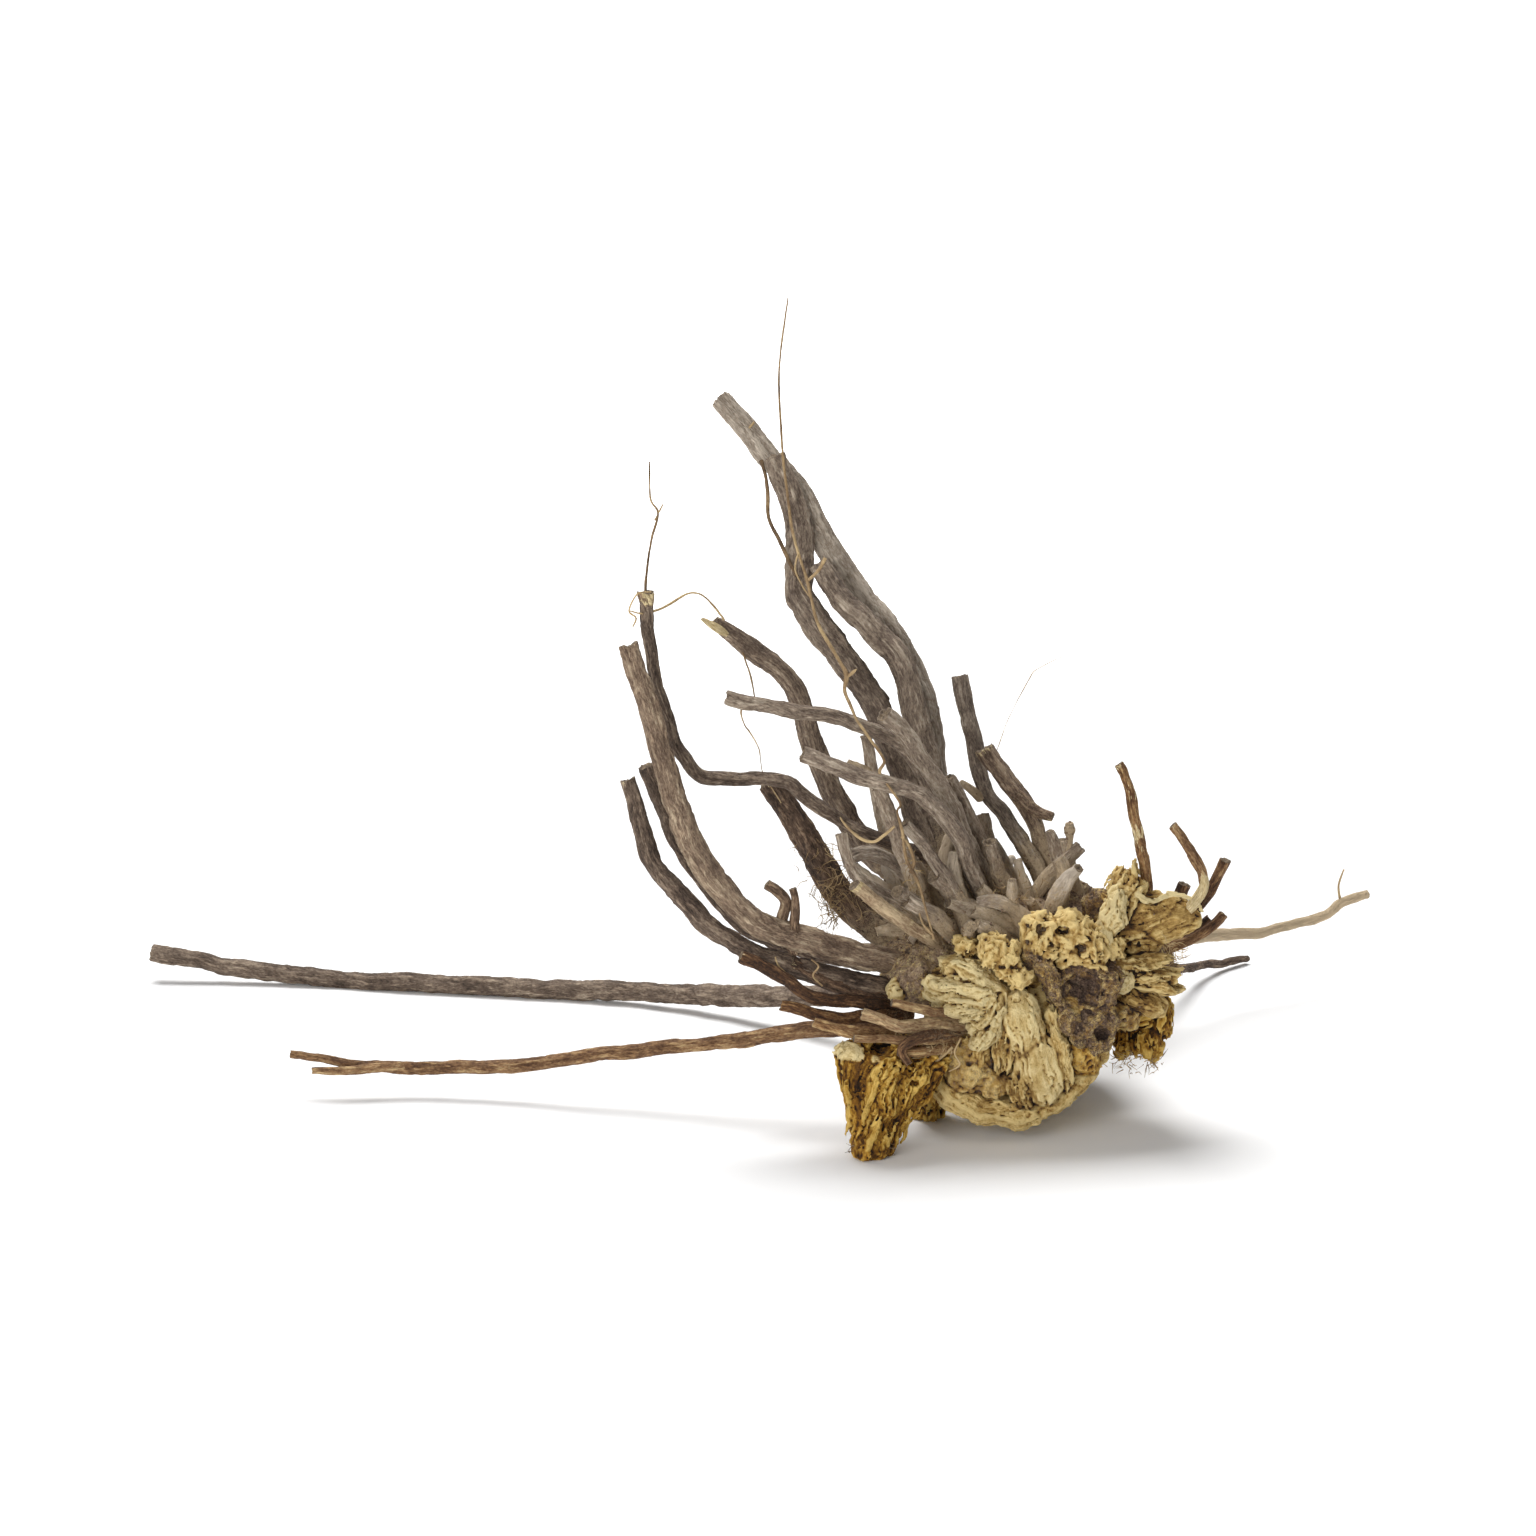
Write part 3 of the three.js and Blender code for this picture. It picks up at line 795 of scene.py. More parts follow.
RIM_POINTS = ((17.8, 0.4, 8.4), (20.0, -1.6, 5.4), (23.8, -2.6, 3.6), (28.2, -3.0, 3.0), (32.0, -2.4, 4.5),
              (34.6, -1.2, 6.8), (36.8, 0.2, 9.8), (37.8, 1.6, 12.6))
TONGUE_CHUNKS = (
    lump(SMOOTH, (28.3, -3.2, 13.6), (2.6, 2.5, 4.4), -0.12, (0.15, 0, -1)),
    lump(SMOOTH, (30.4, -3.1, 8.8), (2.9, 2.5, 4.8), -0.3, (0.3, 0, -1)),
    lump(FIBRE, (26.2, -2.8, 12.2), (1.5, 2.4, 5.0), 0.12, (-0.1, 0, -1)),
    lump(FIBRE, (24.4, -2.2, 11.8), (1.2, 2.3, 4.4), 0.3, (-0.3, 0, -1)),
    lump(FIBRE, (32.6, -2.4, 10.2), (1.3, 2.3, 5.0), -0.2, (0.25, 0, -1)),
    lump(FIBRE, (28.6, -2.8, 6.2), (2.0, 2.4, 2.8), -0.4, (0.3, 0, -1)),
    lump(SCALY, (22.6, -1.6, 8.8), (3.4, 2.6, 3.4), 0.4, (-0.6, 0, -1)),
    lump(SCALY, (25.3, -2.4, 6.8), (2.0, 1.5, 1.8), 0.0, (1, 0, -1)),
    lump(SCALY, (22.0, -1.8, 6.4), (2.2, 1.6, 1.4), 0.4, (1, 0, -1)),
    lump(DARK_RIND, (35.0, -0.8, 9.8), (2.6, 2.6, 3.0), -0.5, (1, 0, -1)),
    *chain(RIND, RIM_POINTS, 1.6),
)
FAN_CHUNKS = (
    lump(PLATE, (22.2, -3.4, 20.2), (2.8, 2.0, 1.2), 0.25, (-1, 0, 0.2)),
    lump(PLATE, (19.6, -3.0, 18.6), (2.4, 2.0, 1.2), -0.2, (-1, 0, 0.2)),
    lump(SPONGE, (25.0, -3.0, 22.2), (1.6, 2.2, 2.0), 0.0, (0, 0, 1)),
    lump(SPONGE, (26.8, -3.2, 21.2), (1.5, 2.0, 1.9)),
    lump(SPONGE, (28.0, -4.0, 19.4), (1.5, 1.8, 1.1)),
    lump(SPONGE, (22.0, -1.6, 22.4), (1.5, 2.0, 1.3)),
    lump(SMOOTH, (14.2, -1.4, 17.0), (1.3, 1.5, 1.3), 0.0, (-1, 0, 0.2)),
    lump(DUSTY, (17.2, -1.0, 18.0), (2.6, 2.2, 2.6)),
    *(fan_plate(*plate) for plate in FAN_PLATES),
)
SPONGE_CHUNKS = (
    lump(SPONGE, (30.6, -1.2, 23.4), (2.6, 2.6, 2.6)),
    lump(SPONGE, (33.8, -1.0, 23.8), (2.6, 2.6, 2.6)),
    lump(SPONGE, (36.2, -0.4, 22.4), (2.2, 2.6, 2.6)),
    lump(SPONGE, (35.0, -1.0, 20.6), (3.0, 2.2, 1.1), 0.25),
    lump(SOILED, (35.2, 0.0, 17.6), (4.2, 3.4, 4.2)),
    lump(SCALY, (33.9, -2.8, 16.6), (1.1, 1.7, 1.8), -0.35),
    lump(SOILED, (36.4, -0.8, 12.8), (3.0, 3.4, 3.2), 0.2),
    lump(SOILED, (37.6, -0.6, 18.6), (2.2, 3.0, 1.8), 0.3),
    *chain(SOILED, ((29.6, -1.8, 22.4), (30.8, -2.4, 20.2), (32.4, -3.0, 17.6), (33.6, -3.0, 14.4),
                    (34.6, -2.6, 11.8)), 1.3),
)
FACE_CUTS = TONGUE_CUTS + DIAGONAL_CUTS[2:]
FACE_BACK = 2.5
FACE_VOXEL = 0.2
for name, chunks, cuts, shift, slow, low, high in (
        ("face_tongue", TONGUE_CHUNKS, FACE_CUTS, 40.0, 1.4, (15, -8, 0.6), (40.6, 3.4, 19.6)),
        ("face_fan", FAN_CHUNKS, FAN_CUTS, 57.0, 2.4, (11, -8, 11.2), (30.4, 3.4, 26)),
        ("face_sponge", SPONGE_CHUNKS, DIAGONAL_CUTS + HOLES, 71.0, 2.4, (26.5, -6.4, 8), (40.4, 3.4, 27.6))):
    carved_wood(name, carving_rule(chunks, cuts, shift, slow, back=FACE_BACK), low, high, FACE_VOXEL)

# %% [markdown]
# At the right a wing of thin wood stands up like a torn ear, with its rim rolled over, and ragged lobes
# point outwards under it. The stumps of old stems stick out below: one carries the front of the crown
# on its foot, one hangs free at the right, and two stand behind.

# %% The wing and the lobes
WING_RIM = ((37.6, 1.6, 25.6), (38.4, 1.2, 28.2), (40.4, 1.4, 28.4), (42.6, 1.2, 26.6), (45.2, 1.4, 27.2),
            (47.6, 1.8, 26.6), (48.4, 2.2, 25.4))
WING_CHUNKS = (
    lump(WING_FACE, (43.4, 3.0, 24.6), (4.8, 1.7, 2.9), 0.12, (1, 0, 0.2)),
    lump(WING_FACE, (41.4, 3.4, 23.0), (3.8, 2.0, 2.8), 0.5, (1, 0, 0.3)),
    *chain(EDGE, WING_RIM, 0.42),
    lump(FIBRE, (40.2, 2.4, 27.4), (2.5, 1.5, 2.8), -0.3, (0.4, 0, 1)),
    taper(FIBRE, (40.8, 2.4, 28.6), (41.2, 2.6, 31.0), 0.9, 0.5),
    lump(EDGE, (38.6, 1.2, 25.4), (1.5, 1.9, 3.1), 0.1, (0.2, 0, 1)),
    lump(EDGE, (37.7, 0.5, 23.0), (1.4, 1.7, 2.2), -0.1, (0.1, 0, 1)),
    lump(SPONGE, (38.9, 0.6, 21.6), (1.2, 1.7, 1.3)),
    lump(SOILED, (37.6, 4.6, 25.0), (2.2, 2.4, 2.6)),
    lump(FIBRE, (41.2, 1.2, 19.6), (4.4, 2.6, 0.95), -0.12, (1, 0, 0.15)),
    lump(FIBRE, (42.4, 1.8, 18.2), (4.6, 2.6, 1.0), 0.02, (1, 0, 0)),
    lump(FIBRE, (43.6, 2.4, 17.0), (3.6, 2.6, 0.9), 0.2, (1, 0, -0.2)),
    lump(EDGE, (39.2, 0.6, 18.2), (2.2, 2.2, 1.6), 0.3, (1, 0, 0.1)),
    lump(WING_FACE, (41.6, 3.0, 15.2), (3.8, 3.0, 1.7), 0.5, (1, 0, -0.5)),
    lump(SCALY, (39.4, 2.6, 13.6), (2.8, 3.0, 1.5), 0.6, (1, 0, -0.5)),
    lump(SOILED, (40.5, 7.4, 18.5), (5.6, 4.6, 3.6)),
)
WING_RULE = carving_rule(WING_CHUNKS, WING_CAVE, 90.0, 2.2, 1.0)
carved_wood("crown_wing", WING_RULE, (34, -3.6, 10.5), (50.4, 13, 33), 0.215)

# %% The stumps of old stems
FRONT_STUMP = (
    taper(STUMP, (12.4, -5.4, 9.6), (11.2, -9.2, -0.4), 4.2, 1.6, (0.42, 0, 1)),
    taper(STUMP, (16.4, -4.0, 8.6), (12.6, -7.8, 0.8), 3.2, 1.2, (0.62, 0, 1)),
    taper(STUMP, (10.0, -6.2, 10.6), (10.6, -9.0, 1.0), 2.4, 1.1, (0.0, 0, 1)),
    lump(EDGE, (9.4, -7.0, 11.6), (2.1, 1.9, 1.2), 0.2, (0.3, 0, 1)),
    lump(EDGE, (12.0, -8.2, 11.3), (1.2, 1.2, 0.8), -0.2, (0.3, 0, 1)),
    lump(STUMP, (17.4, -3.6, 9.8), (2.9, 2.4, 2.2), 0.2, (1, 0, 0.5)),
    lump(DARK_STUMP, (11.8, -8.8, 0.9), (2.0, 1.9, 0.9), 0.0, (0.3, 0, 1)),
    lump(DARK_STUMP, (10.4, -9.6, 1.6), (0.9, 1.0, 1.2), 0.1, (0.1, 0, 1)),
)
FRONT_CUTS = (
    ((12.6, -8.6, 12.2), (1.5, 3.0, 0.8)),
    ((11.5, -11.0, 9.2), (0.7, 1.6, 0.45)),
    ((13.4, -10.4, 8.6), (0.6, 1.6, 0.5)),
    ((15.4, -9.0, 9.8), (0.9, 2.0, 0.6)),
    ((16.2, -8.4, 8.0), (0.6, 1.4, 0.5)),
    ((14.2, -10.0, 10.6), (0.5, 1.6, 0.5)),
)
BACK_STUMPS = (
    taper(DARK_STUMP, (19.5, 4, 8), (18.5, 6.5, -0.4), 3.0, 1.9),
    taper(DARK_STUMP, (17.8, 4.4, 5), (17.4, 5.8, 0.8), 1.6, 0.9),
    taper(STUMP, (30, 25, 9), (31, 27.2, -0.4), 3.8, 2.7),
)
HANGING_STUMP = (
    taper(DARK_STUMP, (42.8, 8.2, 15.6), (42.2, 7.8, 10.4), 2.9, 2.4),
    lump(STUMP, (44.2, 7.2, 12.0), (1.7, 2.6, 3.0), -0.1, (0, 0, 1)),
    lump(STUMP, (40.4, 6.8, 8.4), (1.4, 2.0, 1.9), 0.1, (0.1, 0, 1)),
    lump(STUMP, (42.8, 6.2, 9.0), (2.3, 1.8, 2.2), 0.0, (-0.1, 0, 1)),
    lump(SPONGE, (39.7, 6.4, 11.8), (1.7, 2.2, 1.4)),
    lump(STUMP, (41.6, 5.2, 12.6), (2.4, 1.4, 1.6), 0.2, (1, 0, 0.3)),
)
HANGING_CUTS = (((39.7, 3.6, 10.4), (0.8, 2.8, 0.7)), ((41.8, 7.0, 5.6), (0.9, 3.4, 1.3)),
                ((44.6, 4.4, 9.4), (0.6, 2.0, 0.7)))
for name, chunks, cuts, shift, low, high, voxel, top in (
        ("front_stump", FRONT_STUMP, FRONT_CUTS, 33.0, (5, -13.4, -0.4), (21.5, 1, 15.5), 0.19, 12.8),
        ("back_stumps", BACK_STUMPS, (), 33.0, (14, 0, -0.4), (36, 32, 14), 0.28, None),
        ("hanging_stump", HANGING_STUMP, HANGING_CUTS, 39.0, (36.5, 2.5, 3.5), (48, 13.5, 18), 0.22, None)):
    carved_wood(name, carving_rule(chunks, cuts, shift, 2.0, 1.0, top=top), low, high, voxel)

# %% [markdown]
# Each root is a tube along a route of a few points, each with its own radius. A bevelled curve would do,
# but the bark could not follow it. Here a geometry tree bends each route into a smooth line, lays a tube
# on it, and keeps the place round the root and along it, the distance to the tip, and the direction. The
# wrinkles and the torn tips are then rules in those.

# %% The routes: x, y, z and radius, in millimetres
THICK = 1.5
MIDDLE = 1.0
THIN = 0.65

TALL_ROOTS = {
    "tall_back": [(22, 16, 24.5, 1.75), (20, 20, 29.5, 1.7), (19, 23, 38, 1.65), (18, 25, 44, 1.65),
        (14.5, 28, 51.5, 1.6), (11, 31, 55.5, 1.55), (7, 33, 61.5, 1.5), (3.5, 35, 67.5, 1.4),
        (0, 37, 71, 1.3), (-5.5, 39, 77.5, 1.25)],
    "tall_ringed": [(20.5, 14, 23.5, 1.6), (17.5, 18, 32, 1.6), (13, 22, 43.5, 1.6), (8, 25, 50.5, 1.6),
        (4, 28, 55.5, 1.6), (3.5, 30, 59, 1.6), (3.5, 32, 64, 1.5), (0.5, 34, 71.5, 1.35)],
    "tall_torn": [(21.5, 14, 25, 1.6), (19.5, 18, 32, 1.55), (17.5, 20, 41.5, 1.5), (15.5, 22, 49, 1.5),
        (12, 24, 53, 1.45), (8.5, 26, 56.5, 1.4), (5.5, 28, 60, 1.1)],
    "torn_tip": [(18.5, 16, 23, 1.4), (13, 17, 27.5, 1.4), (8, 18, 34, 1.35), (5, 19, 41.5, 1.3),
        (2.5, 18, 48.5, 1.2), (-2.5, 17, 53, 1.1), (-6, 16, 55.5, 0.7)],
    "bearded": [(16.5, 10, 19.5, 1.8), (12, 11, 21.5, 1.75), (8, 12, 25, 1.65), (5, 12, 30, 1.6),
        (2.5, 12, 34.5, 1.5), (0, 12, 38, 1.35)],
    "bare_post": [(32, 12, 25, MIDDLE), (30, 14, 29, MIDDLE), (27.5, 17, 32.5, 0.95), (25, 19, 35, 0.95),
        (24, 21, 39.5, 0.95), (22, 23, 48, 0.95)],
    "peeled": [(33.5, 14, 26, 0.85), (31.5, 15, 29, 0.9), (30, 16, 33, MIDDLE), (28, 17, 36, 1.15),
        (25, 18, 40.5, 1.2)],
    "peeled_arm": [(28.5, 16, 35.5, 0.8), (30.5, 15, 34, THIN), (32.5, 14, 33.5, 0.5)],
}
SWEEPING_ROOTS = {
    "sweep_big": [(20.5, 10, 16, THICK), (15.5, 3, 19, THICK), (6.5, -2, 22.5, THICK),
        (-1.5, -4, 26, THICK), (-7, -3, 32, 1.45), (-10, -2, 38, 1.4), (-12.5, -2, 47.5, 1.25),
        (-15.5, -1, 56.5, 1.15)],
    "sweep_low": [(19.5, 8, 13.5, 1.3), (13, 1, 16.5, 1.3), (6, -3, 19.5, 1.2), (-3, -4, 23, 1.15),
        (-8.5, -4, 27.5, 1.1), (-13, -3, 33, 1.05), (-15.5, -2, 41.5, 0.95)],
    "sweep_behind": [(21, 12, 19, MIDDLE), (11.5, 10, 17.5, MIDDLE), (3.5, 6, 20, MIDDLE),
        (-2.5, 3, 23.5, MIDDLE), (-6.5, 3, 28, MIDDLE), (-10, 3, 33, MIDDLE), (-13.5, 3, 42, 0.95)],
    "wavy": [(25, 14, 26, 0.85), (19, 12, 29, 0.85), (11.5, 9, 32.5, 0.8), (4.5, 7, 37, 0.8),
        (1.5, 6, 39.5, 0.8), (-6.5, 5, 40, 0.75), (-9.5, 4, 43, 0.75), (-11.5, 4, 48, 0.75),
        (-13, 4, 54.5, 0.75), (-13.5, 4, 61, 0.8)],
    "flat_left": [(25.5, 12, 24, MIDDLE), (21, 8, 34, MIDDLE), (16.5, 6, 42, 0.95), (14, 5, 44.5, 0.9),
        (8, 3, 47.5, 0.85), (3, 2, 48.5, 0.85), (-4.5, 2, 50, 0.8)],
    "hooked": [(26.5, 8, 21.5, MIDDLE), (23.5, 5, 28, MIDDLE), (21.5, 2, 34, MIDDLE), (18, 0, 38.5, 0.95),
        (14.5, -1, 40.5, 0.9), (10, -2, 42, 0.9), (4, -2, 44.5, 0.85)],
    "elbow": [(26.5, 12, 22, 1.2), (23.5, 8, 29, 1.15), (21, 5, 35.5, 1.1), (18.5, 4, 40.5, 1.05),
        (15.5, 3, 45.5, MIDDLE), (13, 2, 48, MIDDLE)],
}
SHORT_ROOTS = {
    "knotty": [(19, 7, 23, 0.9), (15, 4, 25.5, 0.85), (11, 1, 29, 0.85), (9, 0, 31.5, 0.75),
        (8, 0, 35, 0.7)],
    "arched": [(19.5, 8, 23.5, MIDDLE), (17, 7, 26.5, MIDDLE), (14.5, 6, 29.5, 0.95), (11.5, 5, 31.5, 0.9),
        (9, 5, 31, 0.85)],
    "pale_stick": [(20.5, 4, 20.5, 0.95), (18, 0, 23, 0.9), (14, -4, 26.5, 0.85), (9.5, -6, 30.5, 0.8)],
    "short_middle": [(24.5, 4, 23.5, 0.85), (21, 1, 28, 0.8), (17.5, -1, 33.5, 0.75), (15, -2, 36.5, 0.7)],
    "twig_left": [(3, -3, 22, THIN), (1.5, -3, 25.5, THIN), (2, -3, 28, THIN), (0, -3, 30, 0.6)],
    "twig_right": [(3, -3, 22, 0.6), (3, -4, 26, 0.55), (3, -4, 28, 0.5), (2.5, -4, 29.5, 0.45)],
    "steep_long": [(27.5, 12, 24, MIDDLE), (24.5, 10, 30.5, 0.9), (22.5, 8, 35.5, 0.8),
        (20.5, 7, 39.5, 0.7)],
    "steep_short": [(28.5, 9, 24.5, MIDDLE), (26, 7, 29, 0.9), (25, 6, 32.5, 0.8)],
    "fishtail": [(35.5, 10.5, 23, 1.2), (34.6, 11, 26.4, 1.05), (33, 11, 29.6, 0.9),
        (31.8, 11, 32.4, 0.55)],
    "fishtail_middle": [(35, 11.5, 24, 1), (34, 11.5, 28, 1.05), (33.6, 11.5, 31.2, 0.85)],
    "leaning": [(29.4, 9, 24, 0.95), (31.6, 10, 27.2, 0.85), (33.6, 10, 29.4, 0.85), (35.4, 10, 31, 0.8)],
    "frayed_stub": [(18, 5, 24, 1.1), (16.5, 4, 29, 1.05), (15, 3, 32.5, MIDDLE), (13.5, 3, 36.5, 0.95),
        (12.2, 3, 39.5, 0.85)],
    "dark_stub": [(14.5, 15, 26, 0.9), (13.4, 14, 32, 0.85), (12.2, 14, 38, 0.8), (11, 14, 43, 0.7)],
    "dark_stub_knob": [(12.4, 14, 37.4, 0.7), (11, 13.4, 39, 0.7), (9, 13, 40, 0.55)],
    "knob_stub": [(21, 2, 22.5, MIDDLE), (18.5, -2, 26, 0.95), (15.4, -2.6, 28, 0.85)],
    "blunt_stub": [(19, 3, 23.5, 0.9), (16, -1, 27.4, 0.85), (14.4, -4, 29.2, 0.8)],
    "hidden_stub": [(23, 5, 24, MIDDLE), (20.5, 1.5, 27.5, 0.95), (18.6, -0.5, 30, 0.9)],
    "side_fork": [(24.4, 18.6, 34.6, 0.6), (23.2, 18, 35.8, 0.5), (22, 18, 36.6, 0.35)],
    "back_stub": [(27, 16, 24, 1.1), (25.5, 18, 29, MIDDLE), (24.6, 19, 32.5, 0.95)],
    "right_stub": [(33, 6, 25, 0.9), (33.4, 6.5, 28.5, 0.85), (32.8, 7, 30, 0.8)],
    "root_swelling": [(24, 6, 23, 1.3), (21.5, 4.5, 26.5, 1.2), (19.6, 4, 29.6, 1.1)],
    "lying_arc": [(30.5, 3, 22.6, 0.9), (28.6, 2, 25, 0.9), (26, 2, 26.6, 0.85), (23.6, 3, 26.2, 0.8)],
    "torn_sliver": [(-4.6, 15.2, 54.4, 0.3), (-5.6, 15, 55.2, 0.5), (-6.8, 15, 55.9, 0.35),
        (-7.6, 15, 56.3, 0.15)],
    "wavy_cap": [(-13.3, 4, 60, 0.7), (-13.5, 4, 60.8, 0.95), (-13.6, 4, 61.5, 1.02)],
    "ball_stalk": [(34.2, 10, 30.4, 0.4), (34.3, 10, 31.7, 0.32), (34.2, 10, 32.5, 0.62),
        (34.2, 10, 33.2, 0.68), (34.1, 10, 33.8, 0.45)],
}
RIGHT_STEMS = {
    "cracked": [(43, 6, 25, 0.75), (42.5, 4, 29.5, 0.7), (42, 3, 32.5, THIN), (41, 2, 36, THIN),
        (40.5, 2, 39.5, 0.6), (39, 2, 42.5, 0.55)],
    "bent_pale": [(48.6, 0.4, 29.2, 0.5), (48.3, 0, 30.8, 0.6), (47, 0, 33, 0.62), (45, 0, 36, 0.6)],
    "bent_pale_foot": [(46.5, 4, 24, 0.6), (48.3, 1.2, 27.6, 0.6), (48.7, 0.4, 29, 0.55),
        (48.5, 0, 30.4, 0.52), (47.8, 0, 31.6, 0.45)],
    "cut_right": [(47, 6, 23, THIN), (50, 6, 27, THIN), (51.5, 6, 30.5, THIN)],
    "stub_right": [(41, 8, 20, 0.8), (46, 11.5, 23.5, 0.75), (47.5, 12, 26, 0.75)],
    "low_right": [(43, 7, 19, THIN), (48.5, 6, 21.5, 0.6), (51.5, 6, 24, 0.55)],
    "low_right_back": [(42, 9, 18, THIN), (47.5, 8, 21, 0.55), (50, 8, 23, 0.5)],
    "amber": [(16, 3, 14, 0.85), (11, -2, 16, 0.8), (5.5, -6, 17.5, 0.75), (2, -7, 20, 0.75),
        (-3, -8, 23, 0.7)],
    "low_upper": [(16, 2, 13.5, 0.8), (8, -5, 15, 0.75), (3.5, -7, 16.5, 0.7), (1.5, -7, 17, 0.65)],
    "low_lower": [(17, 0, 11.5, 0.8), (10, -8, 14, 0.7), (7, -9, 15, 0.6), (5, -9, 15.5, 0.5)],
    "low_front": [(22, -1, 13, 1.1), (15.5, -8, 15, 0.85), (12.5, -9, 16, 0.75), (10.5, -9, 16.5, 0.7)],
    "low_finger": [(21, -2, 11.8, 0.8), (16.5, -7.6, 13.2, 0.6), (13, -9, 13.6, 0.5),
        (9.6, -9.6, 14, 0.42)],
    "low_finger_two": [(20.5, -3, 11, 0.75), (17, -7.4, 12, 0.55), (14.4, -9, 12.2, 0.45)],
    "low_finger_three": [(22, -2, 14.4, 0.7), (17, -6.6, 16.6, 0.55), (13.6, -8, 17.6, 0.5)],
    "low_knee": [(21, -2, 12.4, 0.8), (16.4, -8.6, 13.6, 0.65), (14.8, -9.4, 12.6, 0.55),
        (15.6, -9.6, 11, 0.45)],
    "under_grey": [(18, 5, 14, 1.1), (12.5, 0, 16, MIDDLE), (7, -3, 18.5, 0.95), (2.5, -4, 21, 0.85)],
}
FAR_ROOTS = {
    "long_left": [(22.5, 22, 13, 1.4), (15.5, 30, 9, 1.35), (4, 42, 4.5, 1.3), (-14.5, 54, 1.8, 1.25),
        (-40, 60, 1.2, 1.2), (-60, 64, 1.3, 1.15), (-76.5, 66, 3.5, 1.1)],
    "long_low": [(21, 6, 10.5, 0.9), (8, 5, 11, 0.9), (-8, 9, 8, 0.85), (-22, 12, 5.5, 0.8),
        (-32, 14, 3.8, 0.8), (-41, 15, 3.5, 0.75), (-48, 15, 4, 0.6), (-55, 15, 5, 0.5)],
    "long_low_prong": [(-42, 15, 3.6, 0.6), (-48.5, 14, 3.6, 0.5), (-52.5, 14, 3.6, 0.4)],
    "long_right": [(34, 22, 15, 0.9), (45.5, 40, 11, 0.8), (53.5, 50, 10, 0.7), (61.5, 56, 9, THIN),
        (68.5, 60, 10, THIN), (71, 61, 11.5, 0.6), (74, 62, 12, 0.55)],
    "short_right": [(34, 24, 11, 0.75), (46.5, 48, 6, THIN), (54, 66, 1.8, 0.55), (60.5, 74, 0.7, 0.45)],
}
print("routes:", sum(map(len, (TALL_ROOTS, SWEEPING_ROOTS, SHORT_ROOTS, RIGHT_STEMS, FAR_ROOTS))))

# %% How each root looks: tone, redness, peeled share, soil near its base
PLAIN_LOOK = (0.66, 0.15, 0, 1)
LOOKS = {
    "sweep_big": (0.56, 0.35, 0, 0.8), "sweep_low": (0.35, 0.2, 0, 0.8),
    "sweep_behind": (0.36, 0.2, 0, 0.8), "wavy": (0.4, 0.15, 0, 1), "tall_ringed": (0.5, 0.1, 0, 1),
    "tall_torn": (0.52, 0.1, 0, 1), "bearded": (0.33, 0.4, 0, 0.8), "bare_post": (0.53, 0, 0, 1),
    "peeled": (0.48, 0.3, 0.2, 1), "peeled_arm": (0.44, 0.4, 0.3, 0.4), "pale_stick": (0.8, 0.6, 0.3, 0.6),
    "knotty": (0.64, 0.1, 0, 1), "arched": (0.62, 0, 0, 1), "cracked": (0.56, 1, 0.36, 0.2),
    "bent_pale": (0.56, 0.9, 0.1, 0), "bent_pale_foot": (0.68, 0.9, 1.3, 0), "hooked": (0.58, 0.1, 0, 1),
    "elbow": (0.66, 0.1, 0, 1), "flat_left": (0.57, 0.1, 0, 1), "short_middle": (0.6, 0.1, 0, 1),
    "steep_long": (0.6, 0.1, 0, 1), "wavy_cap": (0.6, 0.5, 0.45, 0), "torn_tip": (0.5, 0.2, 0, 1),
    "torn_sliver": (0.6, 0.6, 0.8, 0), "tall_back": (0.74, 0, 0, 1), "lying_arc": (0.72, 0.1, 0, 1),
    "cut_right": (0.4, 0.9, 0.1, 0.2), "stub_right": (0.34, 0.8, 0, 0.3),
    "low_right": (0.45, 0.9, 0.2, 0.1), "low_right_back": (0.35, 0.9, 0.1, 0.1),
    "amber": (0.29, 0.9, 0, 0.3), "low_upper": (0.4, 1, 0.05, 0.4), "low_lower": (0.62, 1, 0.15, 0.4),
    "low_finger": (0.62, 0.9, 0.15, 0.3), "low_finger_two": (0.58, 1, 0.3, 0.3),
    "low_finger_three": (0.54, 0.9, 0.1, 0.4), "low_knee": (0.36, 0.9, 0, 0.5),
    "low_front": (0.74, 0.8, 0.1, 0.5), "under_grey": (0.25, 0.6, 0, 0.8), "twig_left": (0.48, 0.5, 0, 0.2),
    "twig_right": (0.44, 0.5, 0, 0.2), "long_left": (0.44, 0.15, 0, 0.5), "long_low": (0.5, 0.9, 0.05, 0.3),
    "long_low_prong": (0.55, 0.9, 0.1, 0), "long_right": (1.15, 0.5, 0.15, 0.2),
    "short_right": (0.36, 0.3, 0, 0.2),
}
FACTS = ("thickness", "tone", "red", "peel", "dust", "number")


def route_mesh(name, routes, looks):
    """A mesh of bare edges, one row of them for each route, with the looks kept on the points."""
    points, edges, rows = [], [], []
    for number, (label, route) in enumerate(routes.items()):
        edges += [(len(points) + index, len(points) + index + 1) for index in range(len(route) - 1)]
        points += [point[:3] for point in route]
        rows += [(point[3], *looks.get(label, PLAIN_LOOK), number) for point in route]
    mesh = bpy.data.meshes.new(name + "_routes")
    mesh.from_pydata(points, edges, [])
    for label, column in zip(FACTS, zip(*rows)):
        mesh.attributes.new(label, "FLOAT", "POINT").data.foreach_set("value", column)
    return mesh


print("looks for", len(LOOKS), "roots")

# %% Crowded bases by rule
BASE_SEED = 23
BASE_COUNT = 44
BASE_MIDDLE = (26, 9, 21.5)
BASE_SPREAD = (9.5, 8.0)


